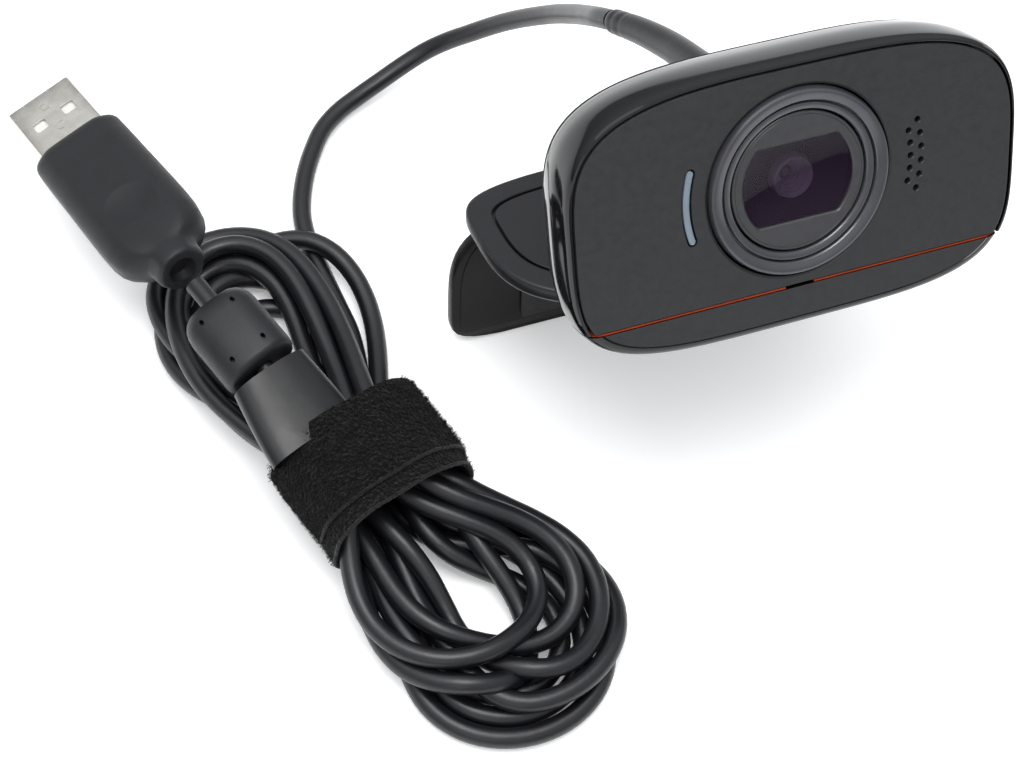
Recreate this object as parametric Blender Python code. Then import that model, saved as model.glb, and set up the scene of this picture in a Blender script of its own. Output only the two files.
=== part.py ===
"""Clip-on webcam with a folding monitor clip and a tied USB lead.

The head, its base and its clip are drawn in the head's own frame: the origin is the middle of
the lens ring on the face, X runs along the face, Y runs from the face to the back and Z runs
up the face.  An empty leans that frame back and lifts it, so that the end of the clip's leg
stands on z = 0.  The lead, its hank and its plug are drawn in the world's frame.
All lengths are in millimetres, and finish() turns them into Blender's metres.
"""

import math

import bmesh
import bpy
from mathutils import Matrix, Vector

MM = 0.001
GAP = 0.3

# Stance of the head
LEAN = math.radians(31.0)
LENS_HEIGHT = 68.03
LENS_Y = -16.05

# Outline of the face: half width, half height, and how square its corners are
FACE_HALF_WIDTH = 33.05
FACE_HALF_RISE = 18.6
FACE_HALF_DROP = 18.9
FACE_CENTRE_Z = -2.0
UPPER_SQUARENESS = 3.5
LOWER_SQUARENESS = 4.2
OUTLINE_POINTS = 64

# Depths of the head, front to back
PLATE_THICKNESS = 1.5
FRAME_BACK = 10.0
HEAD_BOTTOM = -15.2
BASE_TOP = -15.75

# How far the body's skin stands out from the face outline, as (depth, offset) pairs; for the base,
# with a third number for the underside
FRAME_SKIN = [(0.0, 0.3), (0.15, 0.65), (0.8, 0.95), (2.6, 1.12), (6.0, 1.05), (10.0, 0.3)]
HOUSING_SKIN = [(10.3, 0.2), (12.5, -0.9), (15.0, -2.7), (16.8, -4.8), (17.8, -7.5), (18.2, -10.5)]
HOUSING_LINING = [(16.8, -11.0), (16.2, -8.8), (14.6, -5.4), (10.3, -1.9)]
FLOOR_SKIN = [(1.9, -1.3), (8.0, -1.3), (10.3, -2.3), (14.2, -5.8), (16.0, -9.4), (16.5, -11.3)]
FLOOR_TOP = -14.0
BASE_SKIN = [(0.0, -0.35, -0.35), (0.12, 0.1, 0.1), (0.5, 0.6, 0.6), (1.4, 0.95, 0.95), (3.0, 1.12, 1.12),
             (6.0, 1.05, 1.18), (10.0, 0.3, 1.1), (12.5, -0.9, 0.7), (15.0, -2.7, -0.5),
             (17.0, -5.0, -2.6)]

# Lens group
RING_RADIUS = 13.6
RING_PROUD = 0.62
DISC_RADIUS = 10.05
WINDOW_RADIUS = 8.4
WINDOW_HALF_HEIGHT = 5.8

# Status light and microphone holes, both on arcs round the lens
LIGHT_ARC_RADIUS = 16.98
LIGHT_HALF_ANGLE = 0.295
LIGHT_HALF_WIDTH = 0.45
MIC_ROWS = [(17.14, 5), (18.8, 6)]
MIC_STEP = 0.11
MIC_HOLE_RADIUS = 0.43

# Swivel, under the head
SWIVEL_Y = 9.0
HUB_HOLE = 4.35

# Clip: hinge axes as (y, z), slope of the plate, outlines
TILT_AXIS = (20.6, -20.6)
PLATE_SLOPE = math.radians(16.7)
PLATE_TOP = -1.55
PLATE_THICK = 2.6
PLATE_HALF_WIDTH = 33.5
PLATE_WIDEST = 20.5
PLATE_END = 31.2
LEG_HINGE_ALONG = 28.2
LEG_HINGE_DROP = -6.2
LEG_ANGLE = math.radians(-69.3)
LEG_LENGTH = 27.2
LEG_HALF_WIDTH = 34.0
LEG_WIDEST = 18.0
LEG_THICKNESS = 2.2
LEG_BULGE = 1.0
KNUCKLE_RADIUS = 1.8
PIN_RADIUS = 0.9
LUG_INNER = 17.3
LUG_OUTER = 22.0
WEB_INSET = 0.25

# Lead
CORD_DIAMETER = 3.2
RELIEF_ROUTE = [(-6.4, 13.5, 12.5), (-6.4, 18.0, 12.5), (-6.5, 26.0, 12.5), (-7.3, 34.0, 12.4),
                (-8.5, 41.5, 12.0)]
RELIEF_RADII = [2.2, 2.2, 2.15, 2.0, 1.85]
LEAD_ROUTE = [(-8.56, 26.0, 56.75), (-8.7, 29.5, 53.6), (-7.6, 34.5, 48.2), (-6.7, 40.8, 41.4),
              (-6.5, 49.0, 32.2), (-9.3, 57.3, 22.2), (-13.2, 62.1, 15.2), (-19.3, 65.7, 8.6),
              (-29.5, 64.4, 3.6), (-39.8, 59.8, 1.9), (-45.7, 52.3, 1.9), (-48.6, 45.6, 2.6)]
TAIL_ROUTE = [(-61.9, -10.9, 15.9), (-64.2, -5.2, 16.8), (-66.2, 0.0, 17.7), (-68.3, 5.2, 18.6),
              (-69.3, 8.0, 19.2), (-71.2, 13.1, 19.65), (-73.1, 18.2, 19.95), (-75.0, 23.9, 20.1)]

# Hank: two lobes and a waist on one slanting axis, lying flat
HANK_BOTTOM = 0.0
HANK_TOP = 13.6
HANK_UPPER = (-62.2, 21.4)
HANK_LOWER = (-44.6, -40.6)
HANK_UPPER_RADIUS = 15.6
HANK_LOWER_RADIUS = 19.0
HANK_WAIST_HALF = 9.4
TIE_CENTRE = (-54.8, -12.6)
TIE_HALF_WIDTH = 13.2
TIE_LENGTH = 17.0
TIE_HEIGHT = 20.2
TIE_THICKNESS = 1.2
TIE_SLOT_CORNERS = [(-8.8, -20.0), (8.8, -20.0), (8.8, 20.0), (-8.8, 20.0)]

# Pieces on the lead
CHOKE_ENDS = [(-68.48, 4.58, 18.85), (-73.08, 16.98, 19.95)]
CHOKE_ROLL = math.radians(16.0)
LABEL_ENDS = [(-64.2, -5.2, 16.8), (-67.75, 3.8, 18.2)]
PLUG_TAIL = (-75.3, 24.6, 20.1)
PLUG_TIP = (-87.0, 70.0, 10.0)
PLUG_ROLL = math.radians(14.5)
PLUG_SECTIONS = [(0.0, 3.6, 3.1), (0.5, 4.2, 3.7), (2.6, 4.4, 3.9), (4.4, 6.0, 4.0), (6.6, 7.9, 4.2),
                 (11.0, 8.4, 4.3), (16.0, 8.3, 4.3), (24.0, 8.0, 4.2)]
SHELL_WIDTH = 12.0
SHELL_HEIGHT = 4.5
SHELL_LENGTH = 12.0
SHELL_WALL = 0.35

COLOURS = {
    "face_plate": ((0.050, 0.050, 0.055), 0.55, 0.0),
    "gloss_black": ((0.008, 0.008, 0.010), 0.08, 0.0),
    "satin_black": ((0.022, 0.022, 0.026), 0.40, 0.0),
    "ring_grey": ((0.060, 0.060, 0.068), 0.30, 0.6),
    "window_violet": ((0.020, 0.008, 0.030), 0.05, 0.0),
    "optics": ((0.120, 0.090, 0.150), 0.15, 0.0),
    "light_blue_grey": ((0.200, 0.260, 0.310), 0.30, 0.0),
    "rubber": ((0.015, 0.015, 0.016), 0.80, 0.0),
    "board_green": ((0.020, 0.120, 0.050), 0.45, 0.0),
    "steel": ((0.560, 0.550, 0.520), 0.28, 1.0),
    "copper": ((0.700, 0.320, 0.150), 0.30, 1.0),
    "gold": ((0.830, 0.620, 0.230), 0.25, 1.0),
    "white_plastic": ((0.750, 0.740, 0.700), 0.45, 0.0),
    "orange": ((0.300, 0.045, 0.008), 0.35, 0.0),
    "clip_grey": ((0.045, 0.045, 0.055), 0.38, 0.0),
    "leg_black": ((0.018, 0.015, 0.014), 0.30, 0.0),
    "cord_black": ((0.012, 0.013, 0.018), 0.45, 0.0),
    "loop_fabric": ((0.010, 0.010, 0.011), 0.95, 0.0),
    "label_black": ((0.014, 0.014, 0.015), 0.35, 0.0),
}


# ---------------------------------------------------------------- general helpers

def clear_scene():
    for item in list(bpy.data.objects):
        bpy.data.objects.remove(item, do_unlink=True)


def material(name):
    """Return the named Principled material, making it on first use."""
    existing = bpy.data.materials.get(name)
    if existing:
        return existing
    colour, roughness, metallic = COLOURS[name]
    made = bpy.data.materials.new(name)
    made.use_nodes = True
    shader = made.node_tree.nodes["Principled BSDF"]
    shader.inputs["Base Color"].default_value = (*colour, 1.0)
    shader.inputs["Roughness"].default_value = roughness
    shader.inputs["Metallic"].default_value = metallic
    made.diffuse_color = (*colour, 1.0)
    return made


def empty(name, parent=None, place=(0.0, 0.0, 0.0)):
    """An axis or frame; place is in millimetres in the head's frame."""
    made = bpy.data.objects.new(name, None)
    bpy.context.collection.objects.link(made)
    made.empty_display_size = 0.01
    made["place"] = place
    offset = Vector(place)
    if parent:
        made.parent = parent
        offset = offset - Vector(parent["place"])
    made.location = offset * MM
    return made


def finish(name, bm, colour, parent=None, cutter=False):
    """Turn a bmesh in millimetres into a linked object, smooth on its round faces."""
    bmesh.ops.remove_doubles(bm, verts=bm.verts, dist=0.0005)
    bmesh.ops.recalc_face_normals(bm, faces=bm.faces)
    offset = Vector(parent["place"]) if parent else Vector((0.0, 0.0, 0.0))
    for vert in bm.verts:
        vert.co = (vert.co - offset) * MM
    mesh = bpy.data.meshes.new(name)
    bm.to_mesh(mesh)
    bm.free()
    mesh.shade_smooth()
    mesh.set_sharp_from_angle(angle=math.radians(35))
    made = bpy.data.objects.new(name, mesh)
    bpy.context.collection.objects.link(made)
    made.parent = parent
    if cutter:
        made.hide_render = True
        made.display_type = "WIRE"
    else:
        mesh.materials.append(material(colour))
    return made


def combine(target, bm, name, operation="DIFFERENCE"):
    """Cut the bmesh out of the target, or join it on, with a Boolean modifier."""
    tool = finish(name, bm, None, target.parent, cutter=True)
    step = target.modifiers.new(name, "BOOLEAN")
    step.operation = operation
    step.solver = "EXACT"
    step.object = tool


def loft(rings, cyclic=False):
    """Skin a list of rings of equal length; close it end to end or cap both ends."""
    bm = bmesh.new()
    rows = [[bm.verts.new(point) for point in ring] for ring in rings]
    pairs = list(zip(rows, rows[1:]))
    if cyclic:
        pairs.append((rows[-1], rows[0]))
    else:
        bm.faces.new(rows[0])
        bm.faces.new(rows[-1])
    count = len(rows[0])
    for near, far in pairs:
        for i in range(count):
            j = (i + 1) % count
            bm.faces.new((near[i], near[j], far[j], far[i]))
    return bm


def box(low, high):
    bm = bmesh.new()
    bmesh.ops.create_cube(bm, size=1.0)
    low, high = Vector(low), Vector(high)
    for vert in bm.verts:
        vert.co = Vector(((low[i] + high[i]) / 2 + vert.co[i] * (high[i] - low[i]) for i in range(3)))
    return bm


def chamfered_box(low, high, edge):
    bm = box(low, high)
    bmesh.ops.bevel(bm, geom=bm.edges, offset=edge, segments=1, affect="EDGES")
    return bm


def turned(profile, centre, axis, segments=32):
    """Turn a closed (radius, height) profile round an axis; radius 0 ends close at a point."""
    turn = Vector((0, 0, 1)).rotation_difference(Vector(axis)).to_matrix()
    bm = bmesh.new()
    rows = []
    for radius, height in profile:
        if radius == 0:
            rows.append([bm.verts.new(Vector(centre) + turn @ Vector((0, 0, height)))])
            continue
        row = []
        for k in range(segments):
            angle = 2 * math.pi * k / segments
            spoke = Vector((radius * math.cos(angle), radius * math.sin(angle), height))
            row.append(bm.verts.new(Vector(centre) + turn @ spoke))
        rows.append(row)
    pairs = list(zip(rows, rows[1:]))
    if len(rows[0]) > 1:
        pairs.append((rows[-1], rows[0]))
    for near, far in pairs:
        for k in range(segments):
            j = (k + 1) % segments
            corners = [near[k % len(near)], near[j % len(near)], far[j % len(far)], far[k % len(far)]]
            bm.faces.new(list(dict.fromkeys(corners)))
    return bm


def rod(radius, start, end, segments=24):
    """A solid round bar between two points."""
    start, end = Vector(start), Vector(end)
    length = (end - start).length
    profile = [(0, 0.0), (radius, 0.0), (radius, length), (0, length)]
    return turned(profile, start, (end - start).normalized(), segments)


def smooth_route(points, spacing):
    """Points on a smooth curve through the given ones, about one spacing apart."""
    points = [Vector(p) for p in points]
    padded = [2 * points[0] - points[1]] + points + [2 * points[-1] - points[-2]]
    fine = []
    for a, b, c, d in zip(padded, padded[1:], padded[2:], padded[3:]):
        for k in range(20):
            t = k / 20
            fine.append(0.5 * (2 * b + (c - a) * t + (2 * a - 5 * b + 4 * c - d) * t ** 2
                               + (3 * b - a - 3 * c + d) * t ** 3))
    fine.append(points[-1])
    travelled = [0.0]
    for a, b in zip(fine, fine[1:]):
        travelled.append(travelled[-1] + (b - a).length)
    steps = max(2, round(travelled[-1] / spacing))
    route = []
    k = 0
    for n in range(steps + 1):
        goal = travelled[-1] * n / steps
        while k < len(fine) - 2 and travelled[k + 1] < goal:
            k += 1
        share = (goal - travelled[k]) / (travelled[k + 1] - travelled[k])
        route.append(fine[k].lerp(fine[k + 1], share))
    return route


# ---------------------------------------------------------------- outlines of the head

def superellipse(half_width, up, down, square_up, square_down, count=OUTLINE_POINTS):
    """A rounded outline as (across, along) pairs about its widest line."""
    points = []
    for k in range(count):
        angle = 2 * math.pi * (k + 0.5) / count
        c, s = math.cos(angle), math.sin(angle)
        square, height = (square_up, up) if s > 0 else (square_down, down)
        reach = (abs(c) ** square + abs(s) ** square) ** (-1 / square)
        points.append((half_width * c * reach, height * s * reach))
    return points


def face_ring(depth, offset, under=None):
    """The face outline grown by an offset, or by another one below, at a depth behind the face."""
    drop = FACE_HALF_DROP + (offset if under is None else under)
    outline = superellipse(FACE_HALF_WIDTH + offset, FACE_HALF_RISE + offset, drop,
                           UPPER_SQUARENESS, LOWER_SQUARENESS)
    return [(x, depth, FACE_CENTRE_Z + z) for x, z in outline]


def below(height):
    """A block that covers everything under a height, to cut the head off its base."""
    return box((-60, -20, -60), (60, 60, height))


def above(height):
    return box((-60, -20, height), (60, 60, 60))


def slab(name, skin, low, high, colour, parent):
    """A level slice of the form that a skin describes, such as a floor that fills the head."""
    made = finish(name, loft([face_ring(*level) for level in skin]), colour, parent)
    combine(made, below(low), f"{name}_under")
    combine(made, above(high), f"{name}_over")
    return made


def arc_slot(radius, half_angle, half_width, front, back, side):
    """A slot with round ends that follows an arc round the lens, from front to back."""
    steps = 10
    points = []
    for k in range(steps + 1):
        angle = -half_angle + 2 * half_angle * k / steps
        points.append(((radius + half_width) * math.cos(angle), (radius + half_width) * math.sin(angle)))
    for end in (1, -1):
        centre = (radius * math.cos(end * half_angle), radius * math.sin(end * half_angle))
        for k in range(1, 4):
            sweep = end * half_angle + math.pi * k / 4 + (0 if end > 0 else math.pi)
            reach = (half_width * math.cos(sweep), half_width * math.sin(sweep))
            points.append((centre[0] + reach[0], centre[1] + reach[1]))
        if end > 0:
            for j in range(steps + 1):
                angle = half_angle - 2 * half_angle * j / steps
                inner = radius - half_width
                points.append((inner * math.cos(angle), inner * math.sin(angle)))
    rings = [[(side * x, depth, z) for x, z in points] for depth in (front, back)]
    return loft(rings)


# ---------------------------------------------------------------- head

def make_face_plate(head):
    rings = [face_ring(0.0, -0.2), face_ring(0.2, 0.0), face_ring(PLATE_THICKNESS, 0.0)]
    plate = finish("face_plate", loft(rings), "face_plate", head)
    combine(plate, below(HEAD_BOTTOM), "face_trim")
    lens_bore = rod(RING_RADIUS + GAP, (0, -3, 0), (0, 5, 0), 48)
    combine(plate, lens_bore, "face_lens_bore")
    slot = arc_slot(LIGHT_ARC_RADIUS, LIGHT_HALF_ANGLE, LIGHT_HALF_WIDTH + GAP, -1, 3, -1)
    combine(plate, slot, "face_light_slot")
    drill = bmesh.new()
    for radius, count in MIC_ROWS:
        for k in range(count):
            angle = (k - (count - 1) / 2) * MIC_STEP
            x, z = radius * math.cos(angle), radius * math.sin(angle)
            bit = rod(MIC_HOLE_RADIUS, (x, -1, z), (x, 3, z), 10)
            mesh = bpy.data.meshes.new("bit")
            bit.to_mesh(mesh)
            bit.free()
            drill.from_mesh(mesh)
            bpy.data.meshes.remove(mesh)
    combine(plate, drill, "face_mic_holes")


def make_rim_frame(head):
    """The glossy rim round the face, with a ledge behind the face plate."""
    rings = [face_ring(depth, offset) for depth, offset in FRAME_SKIN]
    ledge = PLATE_THICKNESS + GAP
    rings += [face_ring(FRAME_BACK, -0.9), face_ring(ledge, -0.9), face_ring(ledge, 0.3)]
    frame = finish("rim_frame", loft(rings, cyclic=True), "gloss_black", head)
    combine(frame, below(HEAD_BOTTOM), "frame_trim")


def make_rear_housing(head):
    rings = [face_ring(d, o) for d, o in HOUSING_LINING] + [face_ring(d, o) for d, o in HOUSING_SKIN]
    housing = finish("rear_housing", loft(rings), "satin_black", head)
    combine(housing, below(HEAD_BOTTOM), "housing_trim")
    x, _, z = RELIEF_ROUTE[0]
    combine(housing, rod(2.55, (x, 12.0, z), (x, 22.0, z)), "housing_cable_hole")
    for side, word in ((-1, "left"), (1, "right")):
        start = (side * 21.0, 12.0, -8.0)
        combine(housing, rod(1.15, start, (side * 21.0, 20.0, -8.0), 16), f"housing_screw_hole_{word}")
        sink = rod(1.95, (side * 21.0, 17.45, -8.0), (side * 21.0, 20.0, -8.0), 20)
        combine(housing, sink, f"housing_screw_sink_{word}")
        head_and_shank = [(0, 18.15), (1.6, 18.15), (1.6, 17.75), (0.8, 17.4), (0.8, 11.4), (0, 11.4)]
        screw = turned(head_and_shank, (side * 21.0, 0, -8.0), (0, 1, 0), 16)
        finish(f"housing_screw_{word}", screw, "steel", head)


def make_bottom_plate(head):
    """The floor of the head, which the swivel hub passes through."""
    plate = slab("bottom_plate", FLOOR_SKIN, HEAD_BOTTOM, FLOOR_TOP, "satin_black", head)
    combine(plate, rod(HUB_HOLE, (0, SWIVEL_Y, -18), (0, SWIVEL_Y, -10)), "bottom_hub_hole")


def make_lens_group(head, focus):
    ring = [(RING_RADIUS, 2.6), (RING_RADIUS, 0.0), (13.15, -0.5), (12.9, -RING_PROUD),
            (11.6, -RING_PROUD), (11.4, -0.5), (10.4, 0.35), (10.4, 2.6)]
    finish("lens_ring", turned(ring, (0, 0, 0), (0, 1, 0), 56), "ring_grey", head)

    disc = finish("lens_disc", rod(DISC_RADIUS, (0, 0.4, 0), (0, 1.4, 0), 48), "satin_black", head)
    half_angle = math.asin(WINDOW_HALF_HEIGHT / WINDOW_RADIUS)
    outline = []
    for side in (1, -1):
        for k in range(11):
            angle = side * (-half_angle + 2 * half_angle * k / 10)
            outline.append((side * WINDOW_RADIUS * math.cos(angle), WINDOW_RADIUS * math.sin(angle)))
    combine(disc, loft([[(x, y, z) for x, z in outline] for y in (-2, 3)]), "disc_window_cut")

    finish("window_pane", rod(DISC_RADIUS, (0, 1.7, 0), (0, 2.3, 0), 40), "window_violet", head)
    shroud = [(DISC_RADIUS, 2.9), (DISC_RADIUS, 3.3), (3.4, 3.3), (3.4, 2.9)]
    finish("lens_shroud", turned(shroud, (0, 0, 0), (0, 1, 0), 32), "satin_black", head)

    holder = finish("lens_holder", box((-6.4, 3.6, -6.4), (6.4, 9.6, 6.4)), "satin_black", head)
    combine(holder, rod(5.3, (0, 3, 0), (0, 10, 0), 32), "holder_bore")
    magnet = [(4.95, 4.2), (4.95, 7.9), (4.25, 7.9), (4.25, 4.2)]
    finish("focus_magnet_ring", turned(magnet, (0, 0, 0), (0, 1, 0), 28), "steel", head)
    finish("infrared_filter", rod(4.9, (0, 8.35, 0), (0, 8.6, 0), 28), "optics", head)

    barrel = [(3.0, 3.0), (3.0, 7.9), (1.1, 7.9), (1.1, 5.1), (1.75, 4.7), (1.75, 3.7), (2.5, 3.0)]
    finish("lens_barrel", turned(barrel, (0, 0, 0), (0, 1, 0), 32), "optics", focus)
    coil = [(3.9, 4.6), (3.9, 7.4), (3.3, 7.4), (3.3, 4.6)]
    finish("focus_coil", turned(coil, (0, 0, 0), (0, 1, 0), 28), "copper", focus)
    front = [(0, 3.55), (0.7, 3.62), (1.3, 3.9), (1.45, 4.1), (1.45, 4.45), (0, 4.45)]
    finish("front_element", turned(front, (0, 0, 0), (0, 1, 0), 24), "optics", focus)
    rear = [(0, 6.2), (0.8, 6.35), (0.8, 6.9), (0, 7.1)]
    finish("rear_element", turned(rear, (0, 0, 0), (0, 1, 0), 20), "optics", focus)


def make_electronics(head):
    finish("main_board", box((-25, 9.9, -11.5), (25, 10.9, 9.5)), "board_green", head)
    finish("image_sensor", box((-3.5, 8.9, -3.0), (3.5, 9.6, 3.0)), "steel", head)
    finish("signal_chip", chamfered_box((9.5, 8.8, -5.0), (16.5, 9.6, 2.0), 0.1), "satin_black", head)
    finish("shield_can", chamfered_box((5.0, 11.2, -8.0), (19.0, 13.0, 5.0), 0.2), "steel", head)
    connector = chamfered_box((-16.0, 11.2, 3.0), (-7.0, 14.4, 7.0), 0.2)
    finish("board_connector", connector, "white_plastic", head)
    light_x = -LIGHT_ARC_RADIUS
    finish("light_chip", box((light_x - 0.8, 8.7, -1.6), (light_x + 0.8, 9.6, 1.6)), "white_plastic", head)
    pipe = arc_slot(LIGHT_ARC_RADIUS, LIGHT_HALF_ANGLE, LIGHT_HALF_WIDTH, 0.05, 8.4, -1)
    finish("light_pipe", pipe, "light_blue_grey", head)
    finish("mic_boot", chamfered_box((15.7, 1.9, -6.0), (20.7, 4.4, 6.0), 0.3), "rubber", head)
    finish("mic_capsule", rod(2.0, (18.2, 4.7, 0), (18.2, 6.8, 0), 20), "steel", head)


def make_strain_relief(head):
    """A tapered sleeve with shallow ribs, from inside the housing to the cord."""
    route = [Vector(p) for p in RELIEF_ROUTE]
    centres = smooth_route(route, 1.6)
    rings = []
    for k, centre in enumerate(centres):
        share = k / (len(centres) - 1)
        place = share * (len(RELIEF_RADII) - 1)
        left = min(int(place), len(RELIEF_RADII) - 2)
        radius = RELIEF_RADII[left] + (RELIEF_RADII[left + 1] - RELIEF_RADII[left]) * (place - left)
        ahead = centres[min(k + 1, len(centres) - 1)] - centres[max(k - 1, 0)]
        turn = Vector((0, 1, 0)).rotation_difference(ahead.normalized()).to_matrix()
        ring = []
        for n in range(16):
            angle = 2 * math.pi * n / 16
            ring.append(centre + turn @ Vector((radius * math.cos(angle), 0, radius * math.sin(angle))))
        rings.append(ring)
    finish("strain_relief", loft(rings), "cord_black", head)


# ---------------------------------------------------------------- base and swivel

def shrunk(skin, wall):
    """The same skin a wall's thickness further in."""
    return [(d + wall if d < 9 else d - wall, o - wall, under - wall) for d, o, under in skin]


def make_base(base):
    body = finish("base_strip", loft([face_ring(*level) for level in BASE_SKIN]), "gloss_black", base)
    combine(body, above(BASE_TOP), "base_trim")
    seat = loft([face_ring(*level) for level in shrunk(BASE_SKIN, 0.9)])
    seat_cutter = finish("base_seat_form", seat, None, base, cutter=True)
    slice_step = seat_cutter.modifiers.new("slice", "BOOLEAN")
    slice_step.operation = "DIFFERENCE"
    slice_step.solver = "EXACT"
    slice_step.object = finish("base_seat_slice", below(-16.6), None, base, cutter=True)
    seat_step = body.modifiers.new("seat", "BOOLEAN")
    seat_step.operation = "DIFFERENCE"
    seat_step.solver = "EXACT"
    seat_step.object = seat_cutter
    combine(body, box((-24, 2.4, -20.0), (24, 14.6, -10)), "base_pocket")
    y, z = TILT_AXIS
    for side, word in ((-1, "left"), (1, "right")):
        x0, x1 = sorted((side * LUG_INNER, side * LUG_OUTER))
        lug = box((x0 + WEB_INSET, 13.5, z - KNUCKLE_RADIUS + 0.1),
                  (x1 - WEB_INSET, y, z + KNUCKLE_RADIUS - 0.5))
        combine(body, lug, f"base_lug_{word}", "UNION")
        eye = rod(KNUCKLE_RADIUS, (x0, y, z), (x1, y, z))
        combine(body, eye, f"base_eye_{word}", "UNION")
    combine(body, rod(PIN_RADIUS + GAP, (-30, y, z), (30, y, z), 16), "base_pin_hole")

    plate = slab("accent_plate", shrunk(BASE_SKIN, 1.2), -16.3, HEAD_BOTTOM - GAP, "orange", base)
    combine(plate, rod(HUB_HOLE, (0, SWIVEL_Y, -20), (0, SWIVEL_Y, -10)), "accent_hub_hole")
    combine(plate, box((-2.2, -5, -20), (2.2, 3.2, -10)), "accent_notch")
    finish("detent_tab", box((-1.9, 1.2, -16.3), (1.9, 2.9, -15.5)), "gloss_black", base)


def make_swivel(base):
    hub = [(0, -19.7), (5.2, -19.7), (5.2, -18.4), (4.0, -18.0),
           (4.0, -13.9), (1.15, -13.9), (1.15, -18.6), (0, -18.6)]
    finish("swivel_hub", turned(hub, (0, SWIVEL_Y, 0), (0, 0, 1), 32), "satin_black", base)
    washer = [(5.6, -13.6), (5.6, -13.1), (1.3, -13.1), (1.3, -13.6)]
    finish("swivel_washer", turned(washer, (0, SWIVEL_Y, 0), (0, 0, 1), 28), "steel", base)
    screw = [(0, -18.2), (0.85, -18.2), (0.85, -12.8), (2.1, -12.8), (2.1, -12.1), (0, -12.1)]
    finish("swivel_screw", turned(screw, (0, SWIVEL_Y, 0), (0, 0, 1), 20), "steel", base)


# ---------------------------------------------------------------- clip

def on_plate(across, along, up):
    """A point of the clip plate: along its slope from the tilt axis, and up off it."""
    c, s = math.cos(PLATE_SLOPE), math.sin(PLATE_SLOPE)
    return (across, TILT_AXIS[0] + along * c - up * s, TILT_AXIS[1] + along * s + up * c)


def leg_hinge():
    return on_plate(0, LEG_HINGE_ALONG, LEG_HINGE_DROP)


def on_leg(across, along, out):
    """A point of the leg: down it from its hinge, and out behind it."""
    _, y, z = leg_hinge()
    c, s = math.cos(LEG_ANGLE), math.sin(LEG_ANGLE)
    return (across, y + along * c - out * s, z + along * s + out * c)


def plate_ring(up, inset, count=OUTLINE_POINTS):
    rear = PLATE_END - PLATE_WIDEST - inset
    front = PLATE_WIDEST + 0.2 - inset
    outline = superellipse(PLATE_HALF_WIDTH - inset, rear, front, 4.2, 3.0, count)
    return [on_plate(x, PLATE_WIDEST + u, up) for x, u in outline]


def make_clip_plate(plate_axis):
    bottom = PLATE_TOP - PLATE_THICK
    levels = [(PLATE_TOP, 0.5), (PLATE_TOP - 0.5, 0.0), (bottom + 0.6, 0.0), (bottom, 0.6)]
    form = loft([plate_ring(up, inset) for up, inset in levels])
    plate = finish("clip_plate", form, "clip_grey", plate_axis)
    y, z = TILT_AXIS
    knuckle = rod(KNUCKLE_RADIUS, (-LUG_INNER + GAP, y, z), (LUG_INNER - GAP, y, z))
    combine(plate, knuckle, "plate_knuckle", "UNION")
    combine(plate, loft([plate_ring(up, 3.6) for up in (PLATE_TOP - 0.9, PLATE_TOP + 2)]), "plate_pad_seat")
    _, hinge_y, hinge_z = leg_hinge()
    for side, word in ((-1, "left"), (1, "right")):
        x0, x1 = sorted((side * LUG_INNER, side * LUG_OUTER))
        web = [[on_plate(x, u, n) for u, n in ((26.8, -6.2), (29.6, -6.2), (29.6, -3.0), (26.8, -3.0))]
               for x in (x0 + WEB_INSET, x1 - WEB_INSET)]
        combine(plate, loft(web), f"plate_lug_{word}", "UNION")
        eye = rod(KNUCKLE_RADIUS - 0.1, (x0, hinge_y, hinge_z), (x1, hinge_y, hinge_z))
        combine(plate, eye, f"plate_eye_{word}", "UNION")
    pin_hole = rod(PIN_RADIUS + GAP, (-30, y, z), (30, y, z), 16)
    combine(plate, pin_hole, "plate_pin_hole")
    leg_hole = rod(PIN_RADIUS - 0.1 + GAP, (-30, hinge_y, hinge_z), (30, hinge_y, hinge_z), 16)
    combine(plate, leg_hole, "plate_leg_pin_hole")
    pad = loft([plate_ring(up, 4.1) for up in (PLATE_TOP - 0.6, PLATE_TOP - 0.05)])
    finish("clip_pad", pad, "clip_grey", plate_axis)
    grip = [[on_plate(x, u, n) for x, u in ((-22, 8), (22, 8), (22, 22), (-22, 22))]
            for n in (bottom - 0.3, bottom - 1.0)]
    finish("grip_pad", loft(grip), "rubber", plate_axis)
    finish("tilt_pin", rod(PIN_RADIUS, (-LUG_OUTER, y, z), (LUG_OUTER, y, z), 16), "steel", plate_axis)


def leg_half_width(along):
    """Half width of the leg at a distance from its hinge: a full curve above, square below."""
    if along < LEG_WIDEST:
        share, square = (LEG_WIDEST - along) / (LEG_WIDEST + 2.0), 3.3
    else:
        share, square = (along - LEG_WIDEST) / (LEG_LENGTH - LEG_WIDEST), 7.0
    return LEG_HALF_WIDTH * max(0.0, 1 - share ** square) ** (1 / square)


def leg_sheet(rows, near, far, edge, trim=0.0):
    """A curved sheet down the leg between two offsets, with chamfered long edges."""
    rings = []
    for along in rows:
        half = min(leg_half_width(along), LEG_HALF_WIDTH) - trim
        bow = LEG_BULGE * (1 - ((along - 14.0) / 14.0) ** 2)
        section = ((-half + edge, far), (half - edge, far), (half, far - edge), (half, near + edge),
                   (half - edge, near), (-half + edge, near), (-half, near + edge), (-half, far - edge))
        rings.append([on_leg(x, along, out + bow) for x, out in section])
    return loft(rings)


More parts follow.
